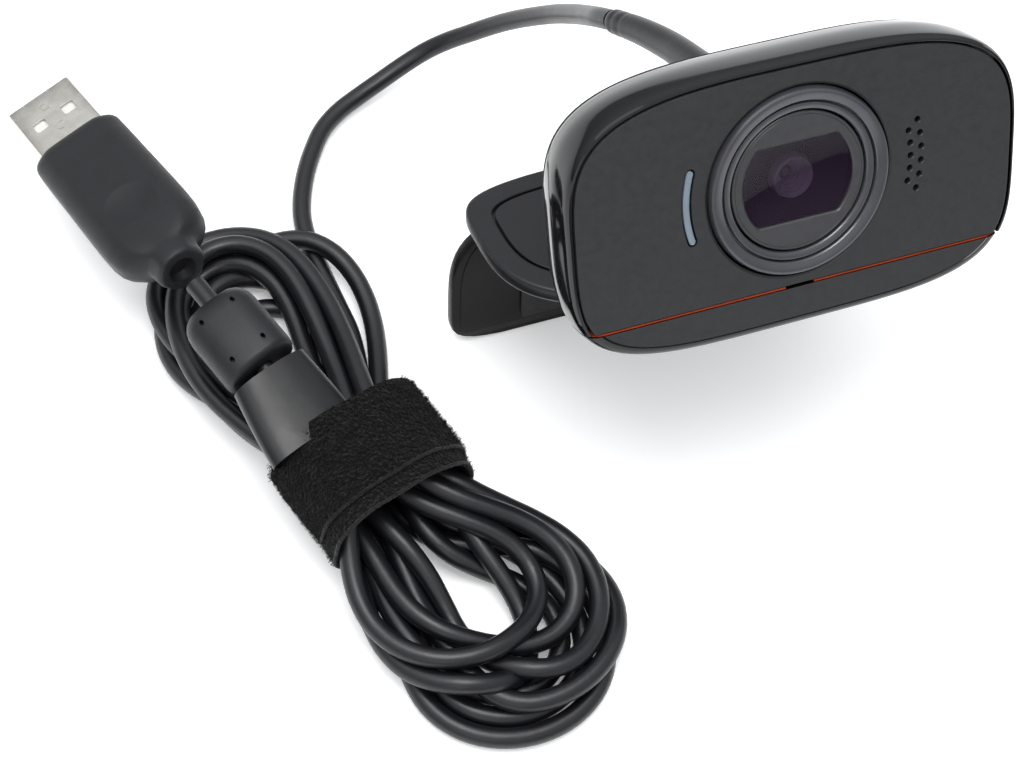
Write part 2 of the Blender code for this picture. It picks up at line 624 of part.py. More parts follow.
def make_leg(leg_axis, plate_axis):
    half = LEG_THICKNESS / 2
    rows = [0.0, 2.5, 5.0, 8.0, 11.0, 14.0, 17.0, 20.0, 22.5, 24.5, 25.8, 26.6, 27.0]
    leg = finish("clip_leg", leg_sheet(rows, -half, half, 0.45), "leg_black", leg_axis)
    _, y, z = leg_hinge()
    for side, word in ((-1, "left"), (1, "right")):
        clear = [[on_leg(side * x, u, n) for u, n in ((-4, -4), (3.0, -4), (3.0, 4), (-4, 4))]
                 for x in (LUG_INNER - GAP, 40)]
        combine(leg, loft(clear), f"leg_clear_{word}")
    knuckle = rod(KNUCKLE_RADIUS - 0.1, (-LUG_INNER + GAP, y, z), (LUG_INNER - GAP, y, z))
    combine(leg, knuckle, "leg_knuckle", "UNION")
    combine(leg, rod(PIN_RADIUS - 0.1 + GAP, (-30, y, z), (30, y, z), 16), "leg_pin_hole")
    pad = leg_sheet([18.0, 19.5, 21.0, 22.5, 24.0], -half - 0.9, -half - GAP, 0.15, trim=12.0)
    finish("leg_pad", pad, "rubber", leg_axis)
    pin = rod(PIN_RADIUS - 0.1, (-LUG_OUTER, y, z), (LUG_OUTER, y, z), 16)
    finish("leg_pin", pin, "steel", plate_axis)


# ---------------------------------------------------------------- lead

def make_tube(name, route, spacing):
    """A round cord along a smooth curve through the route."""
    points = smooth_route(route, spacing)
    curve = bpy.data.curves.new(name, "CURVE")
    curve.dimensions = "3D"
    curve.bevel_depth = CORD_DIAMETER / 2 * MM
    curve.bevel_resolution = 2
    curve.use_fill_caps = True
    spline = curve.splines.new("POLY")
    spline.points.add(len(points) - 1)
    for target, point in zip(spline.points, points):
        target.co = (*(point * MM), 1.0)
    curve.materials.append(material("cord_black"))
    made = bpy.data.objects.new(name, curve)
    bpy.context.collection.objects.link(made)


def hank_outline():
    """Two round lobes joined by a waist, as points round the hank seen from above."""
    axis, side = hank_axes()
    points = []
    for middle, radius, heading in ((HANK_UPPER, HANK_UPPER_RADIUS, -1), (HANK_LOWER, HANK_LOWER_RADIUS, 1)):
        centre = Vector((*middle, 0))
        for k in range(13):
            angle = math.radians(-105 + 210 * k / 12)
            spoke = axis * math.cos(angle) + side * math.sin(angle)
            points.append(centre + heading * radius * spoke)
        waist = Vector((*TIE_CENTRE, 0))
        for along in (1, 0, -1):
            points.append(waist + heading * axis * 8.8 * along + heading * side * HANK_WAIST_HALF)
    return points


def hank_axes():
    """The hank's long direction, from its upper lobe to its lower one, and its side direction."""
    axis = (Vector((*HANK_LOWER, 0)) - Vector((*HANK_UPPER, 0))).normalized()
    return axis, Vector((-axis.y, axis.x, 0))


def make_hank():
    """The coiled cord as one flat solid, with a slot under its waist for the tie."""
    outline = hank_outline()
    rings = [[(p.x, p.y, height) for p in outline] for height in (HANK_BOTTOM, HANK_TOP)]
    hank = finish("cord_hank", loft(rings), "cord_black")
    axis, side = hank_axes()
    middle = Vector((*TIE_CENTRE, 0))
    slot = []
    for height in (-2.0, TIE_THICKNESS + 2 * GAP):
        slot.append([middle + axis * along + side * across + Vector((0, 0, height))
                     for along, across in TIE_SLOT_CORNERS])
    combine(hank, loft(slot), "hank_tie_slot")


def make_tie():
    """A band round the hank's waist, with rounded corners."""
    axis, side = hank_axes()
    middle = Vector((*TIE_CENTRE, TIE_HEIGHT / 2))
    rings = []
    for along, shrink in ((-1, 0.0), (1, 0.0), (1, TIE_THICKNESS), (-1, TIE_THICKNESS)):
        outline = superellipse(TIE_HALF_WIDTH - shrink, TIE_HEIGHT / 2 - shrink,
                               TIE_HEIGHT / 2 - shrink, 7.0, 7.0, 48)
        end = middle + axis * along * TIE_LENGTH / 2
        rings.append([end + side * x + Vector((0, 0, z)) for x, z in outline])
    finish("hank_tie", loft(rings, cyclic=True), "loop_fabric")


def along_axis(start, end, roll=0.0):
    """A frame at start: its third axis points to end and its second is nearest to up, less a roll."""
    start, end = Vector(start), Vector(end)
    forward = (end - start).normalized()
    level = forward.cross(Vector((0, 0, 1))).normalized()
    side = level * math.cos(roll) + level.cross(forward) * math.sin(roll)
    up = side.cross(forward)
    frame = Matrix((side, up, forward)).transposed()
    return lambda x, y, z: start + frame @ Vector((x, y, z)), (end - start).length


def sleeve(ends, half_width, half_height, squareness, bore, edge, roll=0.0):
    """A sleeve of rounded section on the cord, with rounded ends and a bore."""
    place, length = along_axis(*ends, roll)
    rings = []
    for z, shrink in ((0.0, edge), (edge, 0.0), (length - edge, 0.0), (length, edge)):
        outline = superellipse(half_width - shrink, half_height - shrink, half_height - shrink,
                               squareness, squareness, 32)
        rings.append([place(x, y, z) for x, y in outline])
    for z in (length, 0.0):
        outline = superellipse(bore, bore, bore, 2.0, 2.0, 32)
        rings.append([place(x, y, z) for x, y in outline])
    return loft(rings, cyclic=True)


def make_pieces_on_cord():
    finish("ferrite_choke", sleeve(CHOKE_ENDS, 6.0, 4.8, 2.8, 2.2, 0.9, CHOKE_ROLL), "cord_black")
    finish("cable_label", sleeve(LABEL_ENDS, 6.2, 2.45, 3.0, 2.05, 0.1), "label_black")


def make_plug():
    place, length = along_axis(PLUG_TAIL, PLUG_TIP, PLUG_ROLL)
    body_end = length - SHELL_LENGTH

    def tube(z0, z1, shrink):
        return [[place(sx * (SHELL_WIDTH / 2 - shrink), sy * (SHELL_HEIGHT / 2 - shrink), z)
                 for sx, sy in ((-1, -1), (1, -1), (1, 1), (-1, 1))] for z in (z0, z1)]

    rings = []
    for z, half_width, half_height in (*PLUG_SECTIONS, (body_end - 0.6, 7.8, 4.1), (body_end, 7.3, 3.7)):
        outline = superellipse(half_width, half_height, half_height, 3.6, 3.6, 32)
        rings.append([place(x, y, z) for x, y in outline])
    body = finish("plug_overmold", loft(rings), "cord_black")
    combine(body, loft(tube(body_end - 6.3, body_end + 4, -GAP)), "plug_socket")

    back, front = body_end - 6.0, length
    rings = tube(back, front, 0.0) + tube(front, back, SHELL_WALL)
    shell = finish("plug_shell", loft(rings, cyclic=True), "steel")
    for side, word in ((-1, "left"), (1, "right")):
        x0, x1 = sorted((side * 1.5, side * 4.0))
        z0, z1 = front - 7.6, front - 5.2
        window = [[place(x, y, z) for x, z in ((x0, z0), (x1, z0), (x1, z1), (x0, z1))]
                  for y in (1.0, 4.0)]
        combine(shell, loft(window), f"shell_window_{word}")
    tongue = [[place(x, y, z) for x, y in ((-5.3, -0.2), (5.3, -0.2), (5.3, 1.6), (-5.3, 1.6))]
              for z in (back + 0.3, front - 0.6)]
    finish("plug_tongue", loft(tongue), "white_plastic")
    for k, x in enumerate((-3.5, -1.0, 1.0, 3.5)):
        contact = [[place(x + dx, y, z) for dx, y in ((-0.5, -0.7), (0.5, -0.7), (0.5, -0.5), (-0.5, -0.5))]
                   for z in (back + 2.0, front - 1.6)]
        finish(f"plug_contact_{k + 1}", loft(contact), "gold")


def main():
    clear_scene()
    head = empty("head_frame")
    head.location = Vector((0, LENS_Y, LENS_HEIGHT)) * MM
    head.rotation_euler = (-LEAN, 0, 0)
    focus = empty("focus_axis", head, (0.0, 5.0, 0.0))
    base = empty("swivel_axis", head, (0.0, SWIVEL_Y, HEAD_BOTTOM))
    plate_axis = empty("tilt_axis", base, (0.0, *TILT_AXIS))
    leg_axis = empty("leg_axis", plate_axis, leg_hinge())
    make_face_plate(head)
    make_rim_frame(head)
    make_rear_housing(head)
    make_bottom_plate(head)
    make_lens_group(head, focus)
    make_electronics(head)
    make_strain_relief(head)
    make_base(base)
    make_swivel(base)
    make_clip_plate(plate_axis)
    make_leg(leg_axis, plate_axis)
    make_tube("cord_lead", LEAD_ROUTE, 6.5)
    make_hank()
    make_tube("cord_tail", TAIL_ROUTE, 6.0)
    make_tie()
    make_pieces_on_cord()
    make_plug()


main()
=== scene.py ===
"""Looks of the clip-on webcam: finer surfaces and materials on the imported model.

Geometry is drawn in millimetres, either in the head's own frame (origin at the middle of the
lens ring on the face, X along the face, Y to the back, Z up the face) or in the world's frame,
and publish() turns it into metres.
"""

import math

import bmesh
import bpy
import numpy as np
from mathutils import Matrix, Vector


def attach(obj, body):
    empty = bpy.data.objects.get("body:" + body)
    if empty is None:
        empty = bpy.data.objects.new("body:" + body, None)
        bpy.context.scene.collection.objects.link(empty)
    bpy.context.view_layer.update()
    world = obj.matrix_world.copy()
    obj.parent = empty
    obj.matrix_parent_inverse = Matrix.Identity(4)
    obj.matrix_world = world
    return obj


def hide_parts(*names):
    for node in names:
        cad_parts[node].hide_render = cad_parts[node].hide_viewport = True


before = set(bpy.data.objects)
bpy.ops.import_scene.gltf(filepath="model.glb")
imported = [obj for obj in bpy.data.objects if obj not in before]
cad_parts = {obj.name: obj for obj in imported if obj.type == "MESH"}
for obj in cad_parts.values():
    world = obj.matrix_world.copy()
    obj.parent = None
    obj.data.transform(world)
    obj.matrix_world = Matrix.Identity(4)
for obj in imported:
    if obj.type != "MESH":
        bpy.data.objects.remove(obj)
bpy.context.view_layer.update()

MM = Matrix.Scale(0.001, 4)
LEAN = math.radians(31.0)
HEAD = MM @ Matrix.Translation((0, -16.05, 68.03)) @ Matrix.Rotation(-LEAN, 4, "X")
WORLD = MM


# ---------------------------------------------------------------- camera, light and floor

def make_stage():
    scene = bpy.context.scene
    camera = bpy.data.cameras.new("camera")
    camera.lens, camera.sensor_width = 69.04, 36.0
    camera.clip_start, camera.clip_end = 0.01, 20.0
    holder = bpy.data.objects.new("camera", camera)
    scene.collection.objects.link(holder)
    right = Vector((0.9296, -0.3497, 0.1164)).normalized()
    back = -Vector((0.2756, 0.4497, -0.8496)).normalized()
    up = back.cross(right).normalized()
    turn = Matrix((right, up, back)).transposed().to_4x4()
    holder.matrix_world = Matrix.Translation((-0.11584, -0.14369, 0.27517)) @ turn
    scene.camera = holder

    scene.view_settings.view_transform = "Standard"
    world = bpy.data.worlds.new("studio")
    scene.world = world
    world.use_nodes = True
    tree = world.node_tree
    sky = tree.nodes["Background"]
    place = tree.nodes.new("ShaderNodeTexCoord")
    split = tree.nodes.new("ShaderNodeSeparateXYZ")
    ramp = tree.nodes.new("ShaderNodeValToRGB")
    tree.links.new(place.outputs["Generated"], split.inputs[0])
    tree.links.new(split.outputs["Z"], ramp.inputs[0])
    tree.links.new(ramp.outputs[0], sky.inputs["Color"])
    ramp.color_ramp.elements[0].color = (0.26, 0.265, 0.28, 1)
    ramp.color_ramp.elements[1].color = (0.96, 0.98, 1.0, 1)
    ramp.color_ramp.elements[1].position = 0.6
    sky.inputs["Strength"].default_value = 1.0

    for name, size, place, aim, watts in (
            ("key", 1.30, (-0.20, 0.10, 1.00), (0, 0, 0.03), 4.4),
            ("near", 0.16, (-0.07, -0.03, 0.30), (-0.01, -0.02, 0.06), 0.42),
            ("front", 0.40, (-0.42, -0.62, 0.42), (0, 0, 0.05), 0.4)):
        lamp = bpy.data.lights.new(name, "AREA")
        lamp.shape, lamp.size, lamp.energy = "DISK", size, watts
        made = bpy.data.objects.new(name, lamp)
        made.location = place
        made.rotation_euler = (Vector(aim) - Vector(place)).to_track_quat("-Z", "Y").to_euler()
        scene.collection.objects.link(made)

    mesh = bpy.data.meshes.new("floor")
    mesh.from_pydata([(-4, -4, 0), (4, -4, 0), (4, 4, 0), (-4, 4, 0)], [], [(0, 1, 2, 3)])
    floor = bpy.data.objects.new("floor", mesh)
    floor.location = (0, 0, -0.0001)
    scene.collection.objects.link(floor)
    paint = bpy.data.materials.new("floor")
    paint.use_nodes = True
    shader = paint.node_tree.nodes["Principled BSDF"]
    shader.inputs["Base Color"].default_value = (0.93, 0.93, 0.93, 1)
    shader.inputs["Roughness"].default_value = 0.9
    shader.inputs["Specular IOR Level"].default_value = 0.1
    shader.inputs["Emission Color"].default_value = (1, 1, 1, 1)
    shader.inputs["Emission Strength"].default_value = 0.24
    mesh.materials.append(paint)


make_stage()


# ---------------------------------------------------------------- materials

def paint(name, base, rough, metal=0.0, **more):
    """A Principled material with fine bump, and colour and roughness that vary over the surface.

    more may hold coat, specular, sheen, alpha, transmission, ior and layers: a list of
    (kind, scale, stretch, height) bump layers, with scale in cycles per metre and height in metres,
    and vary, the share by which the base colour changes. A transmission entry is not used.
    """
    made = bpy.data.materials.new(name)
    made.use_nodes = True
    tree = made.node_tree
    shader = tree.nodes["Principled BSDF"]
    shader.inputs["Base Color"].default_value = (*base, 1)
    shader.inputs["Roughness"].default_value = rough
    shader.inputs["Metallic"].default_value = metal
    shader.inputs["Coat Weight"].default_value = more.get("coat", 0.0)
    shader.inputs["Coat Roughness"].default_value = more.get("coat_rough", 0.05)
    shader.inputs["Specular IOR Level"].default_value = more.get("specular", 0.5)
    shader.inputs["Sheen Weight"].default_value = more.get("sheen", 0.0)
    shader.inputs["Sheen Roughness"].default_value = 0.5
    shader.inputs["Alpha"].default_value = more.get("alpha", 1.0)
    shader.inputs["IOR"].default_value = more.get("ior", 1.5)
    place = tree.nodes.new("ShaderNodeTexCoord").outputs["Object"]

    def stretched(stretch):
        if stretch == (1, 1, 1):
            return place
        mapping = tree.nodes.new("ShaderNodeMapping")
        mapping.inputs["Scale"].default_value = stretch
        tree.links.new(place, mapping.inputs["Vector"])
        return mapping.outputs["Vector"]

    previous = None
    for kind, scale, stretch, height in more.get("layers", ()):
        if kind == "noise":
            node = tree.nodes.new("ShaderNodeTexNoise")
            node.inputs["Detail"].default_value = 3
            out = node.outputs["Fac"]
        elif kind == "cells":
            node = tree.nodes.new("ShaderNodeTexVoronoi")
            out = node.outputs["Distance"]
        node.inputs["Scale"].default_value = scale
        tree.links.new(stretched(stretch), node.inputs["Vector"])
        bump = tree.nodes.new("ShaderNodeBump")
        bump.inputs["Strength"].default_value = 1.0
        bump.inputs["Distance"].default_value = height
        tree.links.new(out, bump.inputs["Height"])
        if previous:
            tree.links.new(previous, bump.inputs["Normal"])
        previous = bump.outputs["Normal"]
    if previous:
        tree.links.new(previous, shader.inputs["Normal"])

    cloud = tree.nodes.new("ShaderNodeTexNoise")
    cloud.inputs["Scale"].default_value = more.get("cloud", 180)
    cloud.inputs["Detail"].default_value = 6
    tree.links.new(place, cloud.inputs["Vector"])
    share = more.get("vary", 0.12)
    ramp = tree.nodes.new("ShaderNodeValToRGB")
    ramp.color_ramp.elements[0].position = 0.3
    ramp.color_ramp.elements[1].position = 0.6
    ramp.color_ramp.elements[0].color = (*[c * (1 - share) for c in base], 1)
    ramp.color_ramp.elements[1].color = (*[c * (1 + share) for c in base], 1)
    tree.links.new(cloud.outputs["Fac"], ramp.inputs["Fac"])
    tree.links.new(ramp.outputs["Color"], shader.inputs["Base Color"])
    spread = tree.nodes.new("ShaderNodeMapRange")
    spread.inputs["From Min"].default_value = 0.3
    spread.inputs["From Max"].default_value = 0.7
    spread.inputs["To Min"].default_value = rough * (1 - more.get("rough_vary", 0.1))
    spread.inputs["To Max"].default_value = min(1.0, rough * (1 + more.get("rough_vary", 0.1)))
    tree.links.new(cloud.outputs["Fac"], spread.inputs["Value"])
    tree.links.new(spread.outputs["Result"], shader.inputs["Roughness"])
    return made


FACE = paint("face_brushed", (0.016, 0.0165, 0.018), 0.44, specular=0.36, layers=[
    ("noise", 5200, (0.10, 1, 1), 0.000014), ("noise", 9000, (1, 1, 1), 0.000006)], vary=0.10, cloud=900)
GLOSS = paint("piano_black", (0.003, 0.003, 0.0036), 0.09, specular=0.4, layers=[
    ("noise", 60, (1, 1, 1), 0.00002)], vary=0.1, rough_vary=0.25)
SATIN = paint("satin_housing", (0.010, 0.010, 0.012), 0.30, layers=[
    ("noise", 7000, (1, 1, 1), 0.000006)], vary=0.1)
RING = paint("turned_ring", (0.075, 0.075, 0.084), 0.24, 0.6, layers=[
    ("noise", 4200, (1, 0.15, 1), 0.000004)], vary=0.08)
DISC = paint("lens_disc_grey", (0.026, 0.026, 0.029), 0.42, layers=[
    ("noise", 9000, (1, 1, 1), 0.000005)], vary=0.08, cloud=900)
WINDOW = paint("violet_window", (0.010, 0.003, 0.013), 0.05, alpha=0.5, specular=0.35, vary=0.05)
DARK = paint("lens_cavity", (0.0015, 0.0012, 0.0016), 0.7, specular=0.05, vary=0.2)
BARREL = paint("lens_barrel_violet", (0.30, 0.22, 0.36), 0.28, layers=[
    ("noise", 3000, (1, 0.2, 1), 0.00001)], vary=0.1)
ELEMENT = paint("coated_glass", (0.035, 0.02, 0.05), 0.03, coat=1.0, specular=0.9, vary=0.05)
LIGHT = paint("light_window", (0.15, 0.19, 0.225), 0.24, coat=0.4, vary=0.06, cloud=400)
ORANGE = paint("accent_orange", (0.42, 0.055, 0.012), 0.33, layers=[
    ("noise", 5000, (1, 1, 1), 0.000006)], vary=0.12, cloud=300)
CLIP = paint("clip_satin", (0.008, 0.008, 0.010), 0.34, specular=0.38, layers=[
    ("noise", 8000, (1, 1, 1), 0.000010), ("noise", 2500, (1, 1, 1), 0.000008)], vary=0.1, cloud=300)
# Painted shade: a darker, rougher copy of the clip material for the floor of the narrow groove round the
# clip's inlay.
GROOVE_PAINTED_SHADE = paint("groove_painted_shade", (0.004, 0.004, 0.005), 0.45, vary=0.1)
LEG = paint("leg_satin", (0.0045, 0.004, 0.0038), 0.36, specular=0.18, layers=[
    ("noise", 7000, (1, 1, 1), 0.000008)], vary=0.12, cloud=300)
RUBBER = paint("soft_pad", (0.012, 0.012, 0.013), 0.75, layers=[
    ("cells", 1600, (1, 1, 1), 0.00008), ("noise", 5000, (1, 1, 1), 0.00003)], vary=0.2)
CORD = paint("cord_jacket", (0.0055, 0.0057, 0.0075), 0.36, specular=0.45, layers=[
    ("noise", 900, (1, 1, 1), 0.00003), ("noise", 9000, (1, 1, 1), 0.000006)], vary=0.15, cloud=140)
MOULD = paint("moulded_vinyl", (0.0075, 0.0077, 0.0095), 0.45, specular=0.36, layers=[
    ("noise", 6500, (1, 1, 1), 0.000035), ("noise", 1800, (1, 1, 1), 0.00002)], vary=0.14, cloud=260)
FILM = paint("label_film", (0.007, 0.007, 0.0078), 0.30, specular=0.38, layers=[
    ("noise", 500, (1, 1, 1), 0.00003)], vary=0.1, rough_vary=0.2)
LOOPS = paint("loop_fabric", (0.0042, 0.0038, 0.0037), 0.95, sheen=0.06, specular=0.12, layers=[
    ("cells", 1500, (1, 1, 1), 0.0006), ("noise", 2600, (1, 1, 1), 0.0007)], vary=0.5, cloud=2200)
BINDING = paint("woven_edge", (0.006, 0.0056, 0.0055), 0.7, sheen=0.1, specular=0.2, layers=[
    ("cells", 2600, (1, 1, 1), 0.0002)], vary=0.3, cloud=3000)
STEEL = paint("bright_shell", (0.62, 0.60, 0.55), 0.24, 1.0, layers=[
    ("noise", 1500, (1, 1, 1), 0.000006)], vary=0.06, cloud=500, rough_vary=0.3)
PIN = paint("plain_steel", (0.50, 0.49, 0.47), 0.3, 1.0, layers=[
    ("noise", 6000, (0.1, 1, 1), 0.000005)], vary=0.08)
GOLD = paint("gold_flash", (0.83, 0.60, 0.22), 0.25, 1.0, layers=[
    ("noise", 3000, (1, 1, 1), 0.000004)], vary=0.05)
WHITE = paint("insulator_white", (0.70, 0.69, 0.65), 0.45, layers=[
    ("noise", 5000, (1, 1, 1), 0.00001)], vary=0.04)
BOARD = paint("solder_mask", (0.015, 0.11, 0.045), 0.4, layers=[
    ("cells", 900, (1, 1, 1), 0.00003)], vary=0.2, cloud=600)
COPPER = paint("coil_copper", (0.70, 0.32, 0.15), 0.3, 1.0, layers=[
    ("noise", 4000, (1, 0.05, 1), 0.00002)], vary=0.1)


# ---------------------------------------------------------------- geometry helpers

def publish(name, bm, material, body, space=HEAD, replaces=(), sharp=32):
    """Turn a bmesh in millimetres into a piece in metres that rides on a body."""
    bmesh.ops.remove_doubles(bm, verts=bm.verts, dist=0.0004)
    bmesh.ops.recalc_face_normals(bm, faces=bm.faces)
    bm.transform(space)
    mesh = bpy.data.meshes.new(name)
    bm.to_mesh(mesh)
    bm.free()
    for entry in material if isinstance(material, (list, tuple)) else [material]:
        mesh.materials.append(entry)
    mesh.shade_smooth()
    mesh.set_sharp_from_angle(angle=math.radians(sharp))
    made = bpy.data.objects.new(name, mesh)
    bpy.context.scene.collection.objects.link(made)
    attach(made, body)
    if replaces:
        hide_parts(*replaces)
    return made


def carve(target, tools, space=HEAD, sharp=32):
    """Cut or join solids, given as (bmesh, operation) pairs, and keep the result as plain mesh."""
    helpers = []
    for bm, operation in tools:
        bmesh.ops.recalc_face_normals(bm, faces=bm.faces)
        bm.transform(space)
        mesh = bpy.data.meshes.new("helper")
        bm.to_mesh(mesh)
        bm.free()
        for slot in target.data.materials:
            mesh.materials.append(slot)
        helper = bpy.data.objects.new("helper", mesh)
        bpy.context.scene.collection.objects.link(helper)
        helpers.append(helper)
        step = target.modifiers.new("step", "BOOLEAN")
        step.operation, step.solver, step.object = operation, "EXACT", helper
    bpy.context.view_layer.update()
    shaped = bpy.data.meshes.new_from_object(target.evaluated_get(bpy.context.evaluated_depsgraph_get()))
    target.modifiers.clear()
    old, target.data = target.data, shaped
    shaped.name = target.name
    bpy.data.meshes.remove(old)
    for helper in helpers:
        bpy.data.meshes.remove(helper.data)
    shaped.shade_smooth()
    shaped.set_sharp_from_angle(angle=math.radians(sharp))


def loft(rings, cyclic=False, caps=True):
    bm = bmesh.new()
    rows = [[bm.verts.new(point) for point in ring] for ring in rings]
    pairs = list(zip(rows, rows[1:]))
    if cyclic:
        pairs.append((rows[-1], rows[0]))
    elif caps:
        bm.faces.new(rows[0])
        bm.faces.new(rows[-1])
    count = len(rows[0])
    for near, far in pairs:
        for i in range(count):
            j = (i + 1) % count
            bm.faces.new((near[i], near[j], far[j], far[i]))
    return bm


def block(low, high):
    bm = bmesh.new()
    bmesh.ops.create_cube(bm, size=1.0)
    for vert in bm.verts:
        vert.co = Vector((low[i] + (vert.co[i] + 0.5) * (high[i] - low[i]) for i in range(3)))
    return bm


def turned(profile, centre=(0, 0, 0), axis=(0, 1, 0), segments=96):
    turn = Vector((0, 0, 1)).rotation_difference(Vector(axis)).to_matrix()
    bm = bmesh.new()
    rows = []
    for radius, height in profile:
        count = 1 if radius == 0 else segments
        row = []
        for k in range(count):
            angle = 2 * math.pi * k / segments
            spoke = Vector((radius * math.cos(angle), radius * math.sin(angle), height))
            row.append(bm.verts.new(Vector(centre) + turn @ spoke))
        rows.append(row)
    pairs = list(zip(rows, rows[1:]))
    if len(rows[0]) > 1:
        pairs.append((rows[-1], rows[0]))
    for near, far in pairs:
        for k in range(segments):
            j = (k + 1) % segments
            corners = [near[k % len(near)], near[j % len(near)], far[j % len(far)], far[k % len(far)]]
            bm.faces.new(list(dict.fromkeys(corners)))
    return bm


def rod(radius, start, end, segments=48):
    start, end = Vector(start), Vector(end)
    length = (end - start).length
    return turned([(0, 0.0), (radius, 0.0), (radius, length), (0, length)], start,
                  (end - start).normalized(), segments)


def eased(pairs, steps=4):
    """More points on a smooth curve through the given ones."""
    points = [Vector(p) for p in pairs]
    padded = [2 * points[0] - points[1]] + points + [2 * points[-1] - points[-2]]
    out = []
    for a, b, c, d in zip(padded, padded[1:], padded[2:], padded[3:]):
        for k in range(steps):
            t = k / steps
            knots = [0.0]
            for p, q in ((a, b), (b, c), (c, d)):
                knots.append(knots[-1] + max(1e-6, (q - p).length ** 0.5))
            x = knots[1] + (knots[2] - knots[1]) * t
            a1 = a.lerp(b, (x - knots[0]) / (knots[1] - knots[0]))
            a2 = b.lerp(c, (x - knots[1]) / (knots[2] - knots[1]))
            a3 = c.lerp(d, (x - knots[2]) / (knots[3] - knots[2]))
            b1 = a1.lerp(a2, (x - knots[0]) / (knots[2] - knots[0]))
            b2 = a2.lerp(a3, (x - knots[1]) / (knots[3] - knots[1]))
            out.append(b1.lerp(b2, (x - knots[1]) / (knots[2] - knots[1])))
    out.append(points[-1])
    return out


def superellipse(half_width, up, down, square_up, square_down, count=192):
    points = []
    for k in range(count):
        angle = 2 * math.pi * (k + 0.5) / count
        c, s = math.cos(angle), math.sin(angle)
        square, height = (square_up, up) if s > 0 else (square_down, down)
        reach = (abs(c) ** square + abs(s) ** square) ** (-1 / square)
        points.append((half_width * c * reach, height * s * reach))
    return points


def face_ring(depth, offset, under=None):
    drop = 18.9 + (offset if under is None else under)
    outline = superellipse(33.05 + offset, 18.6 + offset, drop, 3.5, 4.2)
    return [(x, depth, z - 2.0) for x, z in outline]


def below(height):
    return block((-60, -20, -60), (60, 60, height))


def above(height):
    return block((-60, -20, height), (60, 60, 60))


def arc_slot(radius, half_angle, half_width, levels, side):
    """A slot with round ends along an arc round the lens; levels are (depth, shrink) pairs."""
    rings = []
    for depth, shrink in levels:
        wide = half_width - shrink
        points = []
        for k in range(25):
            angle = -half_angle + 2 * half_angle * k / 24
            points.append(((radius + wide) * math.cos(angle), (radius + wide) * math.sin(angle)))
        for end in (1, -1):
            centre = (radius * math.cos(end * half_angle), radius * math.sin(end * half_angle))
            for k in range(1, 8):
                sweep = end * half_angle + math.pi * k / 8 + (0 if end > 0 else math.pi)
                points.append((centre[0] + wide * math.cos(sweep), centre[1] + wide * math.sin(sweep)))
            if end > 0:
                for k in range(25):
                    angle = half_angle - 2 * half_angle * k / 24
                    points.append(((radius - wide) * math.cos(angle), (radius - wide) * math.sin(angle)))
        rings.append([(side * x, depth, z) for x, z in points])
    return loft(rings)


# ---------------------------------------------------------------- cord

HANK_AXIS = Vector((17.6, -62.0, 0)).normalized()
HANK_SIDE = Vector((-HANK_AXIS.y, HANK_AXIS.x, 0))
TIE = Vector((-54.8, -12.6, 0))
TIE_SHIFT = -1.6
TIE_MIDDLE = 10.1
TIE_SQUARENESS = 2.45
BUNDLE_HALF_WIDTH, BUNDLE_HALF_HEIGHT = 10.5, 7.15
CORD_RADIUS = 1.6
LEAD = [(-8.56, 26.0, 56.75), (-8.7, 29.5, 53.6), (-7.6, 34.5, 48.2), (-6.7, 40.8, 41.4),
        (-6.5, 49.0, 32.2), (-9.3, 57.3, 22.2), (-13.2, 62.1, 15.2), (-19.3, 65.7, 8.6), (-29.5, 64.4, 3.6),
        (-39.8, 59.8, 1.9), (-45.7, 52.3, 1.7), (-49.0, 45.6, 1.65), (-50.6, 39.5, 1.65), (-50.6, 32.0, 1.65),
        (-50.1, 24.0, 1.65), (-49.5, 14.8, 1.65), (-49.0, 5.0, 1.7)]
TAIL = [(-61.9, -10.9, 15.9), (-64.2, -5.2, 16.8), (-66.2, 0.0, 17.7), (-68.3, 5.2, 18.6),
        (-69.3, 8.0, 19.2), (-71.2, 13.1, 19.65), (-73.1, 18.2, 19.95), (-75.0, 23.9, 20.1)]

# Each turn of the hank: how far its lobe reaches from the tie, the lobe's middle and half width,
# and how far it squeezes in at the tie
LOWER_TURNS = [(42.5, 3.5, 15.0, 9), (46.4, 3.8, 16.0, 5), (39.0, -0.5, 12.0, 2), (44.5, 5.0, 14.6, 8),
               (36.5, -1.5, 12.5, 4), (41.5, 6.0, 13.6, 7), (35.0, 2.5, 14.4, 4), (33.4, -2.0, 14.4, 1)]
UPPER_TURNS = [(40.0, 0.0, 10.8, 4), (49.5, 6.6, 13.6, 9), (46.5, -0.5, 11.8, 1), (52.0, -1.0, 12.0, 6),
               (48.0, -0.5, 10.8, 3), (53.0, -0.8, 11.8, 7), (50.0, -1.2, 10.6, 5)]


def hank_point(along, across, height):
    return TIE + HANK_AXIS * along + HANK_SIDE * across + Vector((0, 0, height))


def lobe(sign, reach, middle, half, waist_in, waist_out, height):
    """Waypoints of one lobe, from one side of the tie round to the other, clockwise from above."""
    start = 1 if sign > 0 else -1
    centre = reach - half
    points = [hank_point(sign * 9.0, TIE_SHIFT + start * (waist_in + 0.6), height),
              hank_point(sign * centre * 0.72, middle + start * half * 0.86, height)]
    for k in range(9):
        angle = math.pi * k / 8
        points.append(hank_point(sign * (centre + half * math.sin(angle)),
                                 middle + start * half * math.cos(angle), height))
    points.append(hank_point(sign * centre * 0.72, middle - start * half * 0.86, height))
    points.append(hank_point(sign * 9.0, TIE_SHIFT - start * (waist_out + 0.6), height))
    return points


def smooth(points, spacing):
    """Points on a smooth curve through the given ones, one spacing apart."""
    fine = np.array([tuple(p) for p in eased(points, 12)])
    along = np.concatenate([[0], np.cumsum(np.linalg.norm(np.diff(fine, axis=0), axis=1))])
    at = np.linspace(0, along[-1], max(3, round(along[-1] / spacing) + 1))
    return np.stack([np.interp(at, along, fine[:, k]) for k in range(3)], axis=1)


